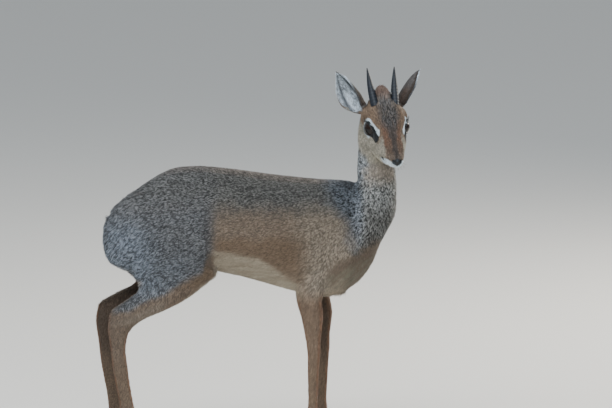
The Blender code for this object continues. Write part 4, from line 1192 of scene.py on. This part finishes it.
def eye_point(side, angle, grow=1.0):
    """A point on the lids' opening in the head's frame, and the way out of the eyeball there."""
    along = LID_OPENING[0] / EYE_RADIUS * np.cos(angle) * grow
    across = LID_OPENING[1] / EYE_RADIUS * np.sin(angle) * grow
    depth = np.sqrt(np.maximum(1 - along ** 2 - across ** 2, 0))
    ray = np.multiply.outer(along, EYE_LONG) + np.multiply.outer(across, EYE_SHORT)
    ray = (ray + np.multiply.outer(depth, EYE_OUTWARD)) * (1, side, 1)
    return EYE_PLACE * (1, side, 1) + ray * EYE_RADIUS, ray


def iris_colours(away, outward, level):
    facing = away @ outward
    iris = smooth(*IRIS_EDGE, facing)
    fibre = cloud(away, (0.09, 0.09, 0.09), 70)
    pupil = iris * (1 - smooth(*PUPIL_SLOT, np.abs(away @ level))) * smooth(*PUPIL_EDGE, facing)
    colour = all_over(EYE_DARK, away)
    colour = lay(colour, iris * (0.8 + 0.2 * fibre), IRIS_BROWN)
    return lay(colour, pupil, PUPIL_BLACK)


# A film of tears gives the eyeball a sharp gloss. The rims are bare moist skin, with folds of
# 1.2 mm, coarser than real ones, that break the light.
wet, shader = new_material("wet_eyeball", 0.06, IOR=1.38)
tint = add_node(wet, "ShaderNodeAttribute", attribute_name="tint")
join(wet, tint.outputs["Color"], shader.inputs["Base Color"])
moist, shader = new_material("moist_lid_rim", 0.3, Base_Color=(*linear(RIM_BLACK), 1))
place = add_node(moist, "ShaderNodeTexCoord")
folds = add_node(moist, "ShaderNodeTexNoise", [(place.outputs["Object"], "Vector")],
                 Scale=1 / RIM_FOLD, Detail=3)
relief = add_node(moist, "ShaderNodeBump", [(folds.outputs["Fac"], "Height")], Strength=0.5,
                  Distance=0.0002)
join(moist, relief.outputs["Normal"], shader.inputs["Normal"])

for letter, side in SIDES.items():
    middle = middle_of(f"eye_{letter}")
    bpy.ops.object.select_all(action="DESELECT")
    bpy.ops.mesh.primitive_uv_sphere_add(segments=64, ring_count=32, radius=EYE_RADIUS - 0.0001,
                                         location=middle)
    eye = bpy.context.object
    eye.name = f"eyeball_{letter}"
    bpy.ops.object.transform_apply(location=True, rotation=True, scale=True)
    outward = HEAD_TURN @ (EYE_OUTWARD * (1, side, 1))
    away = unit(vertices_of(eye.data) - np.array(middle))
    cornea = CORNEA_RISE * smooth(0.55, 0.9, away @ outward)
    move_vertices(eye.data, vertices_of(eye.data) + away * cornea[:, None])
    paint(eye.data, "tint", iris_colours(away, outward, HEAD_TURN @ np.array((0, 0, 1.0))))
    eye.data.materials.append(wet)
    bpy.ops.object.shade_smooth()
    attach(eye, "root")
    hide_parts(f"eye_{letter}")

    bpy.ops.object.select_all(action="DESELECT")
    bpy.ops.mesh.primitive_torus_add(major_segments=72, minor_segments=10, major_radius=1, minor_radius=0.1)
    rim = bpy.context.object
    rim.name = f"lid_rim_{letter}"
    ring = vertices_of(rim.data)
    angle = np.arctan2(ring[:, 1], ring[:, 0]) * side
    section = np.column_stack((np.hypot(ring[:, 0], ring[:, 1]) - 1, ring[:, 2])) / 0.1
    place, ray = eye_point(side, angle)
    beyond, _ = eye_point(side, angle, 1.06)
    spread = unit(beyond - place)
    place = place + spread * (section[:, :1] * RIM_HALF + 0.0004) + ray * (section[:, 1:] * RIM_HALF + 0.0005)
    move_vertices(rim.data, place @ HEAD_TURN.T + HEAD_PLACE)
    edit_all(rim)
    bpy.ops.mesh.normals_make_consistent(inside=False)
    bpy.ops.object.mode_set(mode="OBJECT")
    rim.data.materials.append(moist)
    bpy.ops.object.shade_smooth()
    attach(rim, "root")


# Lashes and whiskers. Single dark bristles, each a thin tapered three-sided spike that curves: the
# lashes along the upper lids, the whiskers on the lips and chin.
LASHES = 46
WHISKERS = 44
LASH_SPAN = (math.radians(14), math.radians(176))
LASH_RADIUS, WHISKER_RADIUS = 0.00013, 0.00009
BRISTLE_DARK = "#14110f"
BRISTLE_TAPER = ((-0.1, 1), (0.35, 0.85), (0.7, 0.55), (1, 0.08))


def bristles(name, roots, ways, bends, lengths, radius, material):
    """Joins curved bristles into one mesh; everything is given in the head's frame."""
    count = len(roots)
    rows = []
    across = unit(np.cross(ways, (0.3, 0.2, 1.0)))
    up = np.cross(across, ways)
    for t, slim in BRISTLE_TAPER:
        middle = roots + ways * (lengths * t)[:, None] + bends * (lengths * t * abs(t))[:, None]
        for k in range(3):
            turn = 2 * math.pi * k / 3
            rows.append(middle + (across * math.cos(turn) + up * math.sin(turn)) * radius * slim)
    places = np.stack(rows, axis=1).reshape(-1, 3) @ HEAD_TURN.T + HEAD_PLACE
    faces = [(0, 2, 1), (9, 10, 11)]
    for ring in range(3):
        for k in range(3):
            a, b = ring * 3 + k, ring * 3 + (k + 1) % 3
            faces.append((a, b, b + 3, a + 3))
    mesh = bpy.data.meshes.new(name)
    all_faces = [tuple(i + 12 * k for i in face) for k in range(count) for face in faces]
    mesh.from_pydata(places.tolist(), [], all_faces)
    made = put_in_scene(name, mesh)
    mesh.materials.append(material)
    mesh.shade_smooth()
    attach(made, "root")


lash, shader = new_material("dark_bristle", 0.4, Base_Color=(*linear(BRISTLE_DARK), 1))
place = add_node(lash, "ShaderNodeTexCoord")
tone = add_node(lash, "ShaderNodeTexNoise", [(place.outputs["Object"], "Vector")], Scale=1 / 0.002)
rough = add_node(lash, "ShaderNodeMapRange", [(tone.outputs["Fac"], "Value")], To_Min=0.3, To_Max=0.6)
join(lash, rough.outputs["Result"], shader.inputs["Roughness"])
for letter, side in SIDES.items():
    draw = np.random.default_rng(500 + side)
    angle = np.linspace(*LASH_SPAN, LASHES) + draw.normal(0, 0.02, LASHES)
    roots, ray = eye_point(side, angle, 1.03)
    upward = EYE_SHORT * (1, side, 1)
    ahead = EYE_LONG * (1, side, 1)
    aside = np.cos(angle)[:, None] * ahead
    ways = unit(ray * 0.75 + upward * 0.35 + aside * 0.5 + draw.normal(0, 0.07, (LASHES, 3)))
    lengths = (0.0036 + 0.0026 * smooth(-0.2, -0.9, np.cos(angle))) * draw.uniform(0.8, 1.1, LASHES)
    bends = np.tile(upward * 0.35, (LASHES, 1)) - ahead * 0.12
    bristles(f"lashes_{letter}", roots + ray * 0.0012, ways, bends, lengths, LASH_RADIUS, lash)

draw = np.random.default_rng(520)
q = in_head(face_middles)
lip = (q[:, 0] > 0.046) & (q[:, 2] < -0.019) & (q[:, 2] > -0.036)
lip = lip & (bare_nose(q) < 0.1) & (distance_to_mouth(q) > 0.001)
chosen = draw.choice(np.flatnonzero(lip), WHISKERS, replace=False)
ways = middle_normals[chosen] @ HEAD_TURN + np.array((-0.25, 0, -0.45))
ways = unit(ways + draw.normal(0, 0.2, (WHISKERS, 3)))
bends = np.tile((-0.2, 0, -0.25), (WHISKERS, 1))
bristles("whiskers", q[chosen], ways, bends, draw.uniform(0.004, 0.0095, WHISKERS), WHISKER_RADIUS, lash)


# Horns. Short straight spikes of dark keratin over a bone core, with grown rings on the lower
# half and a smooth, darker tip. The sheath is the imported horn, made round and given its rings.
HORN_ROOT, HORN_TIP = (-0.0256, 0.0156, 0.0318), (-0.0583, 0.02, 0.0662)
HORN_RADIUS = 0.0056
HORN_TAPER = 1.6
HORN_WALL = 0.0006
HORN_BOW = 0.0022
HORN_RINGS = 10
RING_HEIGHT = 0.00009
RINGS_END = (0.35, 0.68)
# The blue carries a painted sheen of the sky on the rings.
HORN_DARK, HORN_BLUE_SHEEN = "#0f1319", "#1f2732"
HORN_FIBRE = 0.0008

# Keratin is dense and rather dull. Bundles of its fibres, drawn 0.8 mm wide and so coarser than
# real ones, vary its tone and roughen it a little.
sheath, shader = new_material("horn_keratin", 0.52, Specular_IOR_Level=0.35)
tint = add_node(sheath, "ShaderNodeAttribute", attribute_name="tint")
place = add_node(sheath, "ShaderNodeTexCoord")
lines = add_node(sheath, "ShaderNodeTexNoise", [(place.outputs["Object"], "Vector")],
                 Scale=1 / HORN_FIBRE, Detail=4)
shade = add_node(sheath, "ShaderNodeMapRange", [(lines.outputs["Fac"], "Value")], To_Min=0.7, To_Max=1.3)
toned = add_node(sheath, "ShaderNodeVectorMath", [(tint.outputs["Color"], 0), (shade.outputs["Result"], 1)],
                 operation="MULTIPLY")
join(sheath, toned.outputs["Vector"], shader.inputs["Base Color"])
relief = add_node(sheath, "ShaderNodeBump", [(lines.outputs["Fac"], "Height")], Strength=0.4,
                  Distance=0.0002)
join(sheath, relief.outputs["Normal"], shader.inputs["Normal"])

for letter, side in SIDES.items():
    horn = copy_of_node(f"horn_{letter}", f"horn_sheath_{letter}")
    apply_modifier(horn, "SUBSURF", subdivision_type="SIMPLE", levels=2, render_levels=2)
    root, tip = np.array(HORN_ROOT) * (1, side, 1), np.array(HORN_TIP) * (1, side, 1)
    length = np.linalg.norm(tip - root)
    run = (tip - root) / length
    across = unit(np.array((0, 1.0, 0)) - run * run[1])
    bow = np.cross(run, across)
    q = in_head(vertices_of(horn.data))
    t = (q - root) @ run / length
    middle = root + run * (length * t)[:, None] + bow * (HORN_BOW * np.sin(math.pi * t))[:, None]
    away = q - middle
    turn = np.arctan2(away @ bow, away @ across)
    radius = HORN_RADIUS * (1 - np.clip(t, 0, 1) ** HORN_TAPER) + HORN_WALL
    low = 1 - smooth(*RINGS_END, t)
    ring = np.cos(t * 2 * math.pi * HORN_RINGS + cloud(q, 0.005, 80) * 0.9)
    radius = radius + (ring + cloud(q, 0.0016, 81)) * RING_HEIGHT * low
    radius = radius * np.sqrt(np.clip((1.002 - t) / 0.02, 0.15, 1))
    radius = np.where(np.linalg.norm(away, axis=1) < 0.0002, 0, radius)
    outward = np.outer(np.cos(turn) * 0.92, across) + np.outer(np.sin(turn) * 1.06, bow)
    q = middle + outward * radius[:, None]
    move_vertices(horn.data, q @ HEAD_TURN.T + HEAD_PLACE)
    # The blue-grey is the keratin's slate tone with a painted sheen of the sky, laid on more strongly at the
    # crests of the rings.
    tone = 0.5 + 0.35 * ring * low + 0.2 * cloud(q, 0.0015, 82)
    colour = lay(all_over(HORN_DARK, q), tone, HORN_BLUE_SHEEN)
    paint(horn.data, "tint", colour * (1 - 0.3 * smooth(0.6, 1, t))[:, None])
    horn.data.materials.clear()
    horn.data.materials.append(sheath)
    horn.data.shade_smooth()
    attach(horn, "root")
    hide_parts(f"horn_{letter}")


# Hooves. Two pointed claws of black keratin on each foot, grown down from the coronet in fine
# level ridges, with paler worn edges at the ground.
HOOF_VOXEL, HOOF_TRIANGLES = 0.00055, 3600
HOOF_RIDGE, RIDGE_HEIGHT = 0.0021, 0.0001
RIDGES_START = (0.0012, 0.003)
SOLE_SNAP = 0.0004
HOOF_BLACK, HOOF_EDGE, HOOF_STREAK = "#201c1a", "#5a5148", "#4b423a"
HOOF_WEAR = 0.0014

# The same keratin, scuffed by the ground: shinier and duller patches of 1.4 mm lie side by side.
claw, shader = new_material("hoof_keratin", 0.42)
tint = add_node(claw, "ShaderNodeAttribute", attribute_name="tint")
place = add_node(claw, "ShaderNodeTexCoord")
worn = add_node(claw, "ShaderNodeTexNoise", [(place.outputs["Object"], "Vector")],
                Scale=1 / HOOF_WEAR, Detail=4)
rough = add_node(claw, "ShaderNodeMapRange", [(worn.outputs["Fac"], "Value")], To_Min=0.3, To_Max=0.6)
relief = add_node(claw, "ShaderNodeBump", [(worn.outputs["Fac"], "Height")], Strength=0.35,
                  Distance=0.0002)
join(claw, tint.outputs["Color"], shader.inputs["Base Color"])
join(claw, rough.outputs["Result"], shader.inputs["Roughness"])
join(claw, relief.outputs["Normal"], shader.inputs["Normal"])

for end in DEWCLAWS:
    for letter in SIDES:
        for place_on_foot in ("outer", "inner"):
            node = f"{end}_hoof_{letter}_{place_on_foot}"
            hoof = copy_of_node(node, node + "_claw")
            apply_modifier(hoof, "REMESH", mode="VOXEL", voxel_size=HOOF_VOXEL, adaptivity=0)
            apply_modifier(hoof, "SMOOTH", factor=0.5, iterations=5)
            thin_out(hoof, HOOF_TRIANGLES)
            places = vertices_of(hoof.data)
            low, high = places.min(axis=0), places.max(axis=0)
            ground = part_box(node)[0].z
            wall = smooth(*RIDGES_START, places[:, 2] - ground)
            ridge = np.cos(places[:, 2] / HOOF_RIDGE * 2 * math.pi + cloud(places, 0.006, 90))
            places = places + normals_of(hoof.data) * (ridge * RIDGE_HEIGHT * wall)[:, None]
            places[:, 2] = np.where(places[:, 2] < ground + SOLE_SNAP, ground, places[:, 2])
            move_vertices(hoof.data, places)
            up = (places[:, 2] - low[2]) / (high[2] - low[2])
            colour = all_over(HOOF_BLACK, places)
            colour = lay(colour, smooth(0.2, 0.0, up) * 0.6, HOOF_EDGE)
            streak = smooth(0.3, 0.9, cloud(places, (0.0012, 0.0012, 0.02), 91))
            colour = lay(colour, streak * 0.5, HOOF_STREAK)
            paint(hoof.data, "tint", colour)
            hoof.data.materials.clear()
            hoof.data.materials.append(claw)
            hoof.data.shade_smooth()
            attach(hoof, "root")
            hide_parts(node)


# Studio. A wide pale floor, a large soft panel of sky overhead, a faint one in front, and a
# warmer panel behind on the right that edges the face, neck and ears with light.
FLOOR_PALE, AIR_PALE = "#e6e5e1", "#dde4ea"
AIR_STRENGTH = 0.62
bpy.ops.object.select_all(action="DESELECT")
bpy.ops.mesh.primitive_plane_add(size=70, location=(0, 0, 0))
floor = bpy.context.object
floor.name = "floor"
paper, shader = new_material("pale_floor", 0.9, Base_Color=(*linear(FLOOR_PALE), 1))
floor.data.materials.append(paper)
floor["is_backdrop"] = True


def stand_at(thing, place, back):
    """Puts a lamp or the camera at a place, with its back turned a given way."""
    thing.location = place
    thing.rotation_mode = "QUATERNION"
    thing.rotation_quaternion = back.to_track_quat("Z", "Y")


def area_light(name, place, target, size, power, colour):
    lamp = bpy.data.lights.new(name, "AREA")
    lamp.shape = "DISK"
    lamp.size = size
    lamp.energy = power
    lamp.color = colour
    stand_at(put_in_scene(name, lamp), Vector(place), Vector(place) - Vector(target))


area_light("sky_panel", (-0.6, -1.6, 3.2), (0, 0, 0.25), 2.6, 120, (0.93, 0.97, 1.0))
area_light("front_panel", (0.4, -3.2, 1.0), (0, 0, 0.3), 1.8, 28, (1.0, 0.98, 0.96))
area_light("back_panel", (1.9, 1.5, 1.5), (0.12, 0, 0.4), 0.8, 70, (1.0, 0.92, 0.8))

world = bpy.data.worlds.new("studio_air")
world.use_nodes = True
air = world.node_tree.nodes["Background"]
air.inputs["Color"].default_value = (*linear(AIR_PALE), 1)
air.inputs["Strength"].default_value = AIR_STRENGTH
bpy.context.scene.world = world

# The photograph was taken from the animal's right side, a little above, from some metres away.
# Its scale is in pixels for a metre, and the animal's origin lay at a pixel of its 612 by 408.
PHOTO_WIDTH, PHOTO_HEIGHT = 612, 408
SCALE = 700.0
PHOTO_ORIGIN = (249, 447)
VIEW_PITCH = math.radians(7)
PHOTO_SHIFT = Vector((0.0115, -0.0192, 0.0001))
DISTANCE = 7.0
lens = bpy.data.cameras.new("camera")
lens.sensor_width = 36
lens.lens = lens.sensor_width * DISTANCE * SCALE / PHOTO_WIDTH
lens.clip_end = 100
camera = put_in_scene("camera", lens)
height = (PHOTO_ORIGIN[1] - PHOTO_HEIGHT / 2) / SCALE / math.cos(VIEW_PITCH)
aim = Vector(((PHOTO_WIDTH / 2 - PHOTO_ORIGIN[0]) / SCALE, 0, height)) - PHOTO_SHIFT
back = Vector((0, -math.cos(VIEW_PITCH), math.sin(VIEW_PITCH)))
stand_at(camera, aim + back * DISTANCE, back)
bpy.context.scene.camera = camera

low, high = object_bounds()
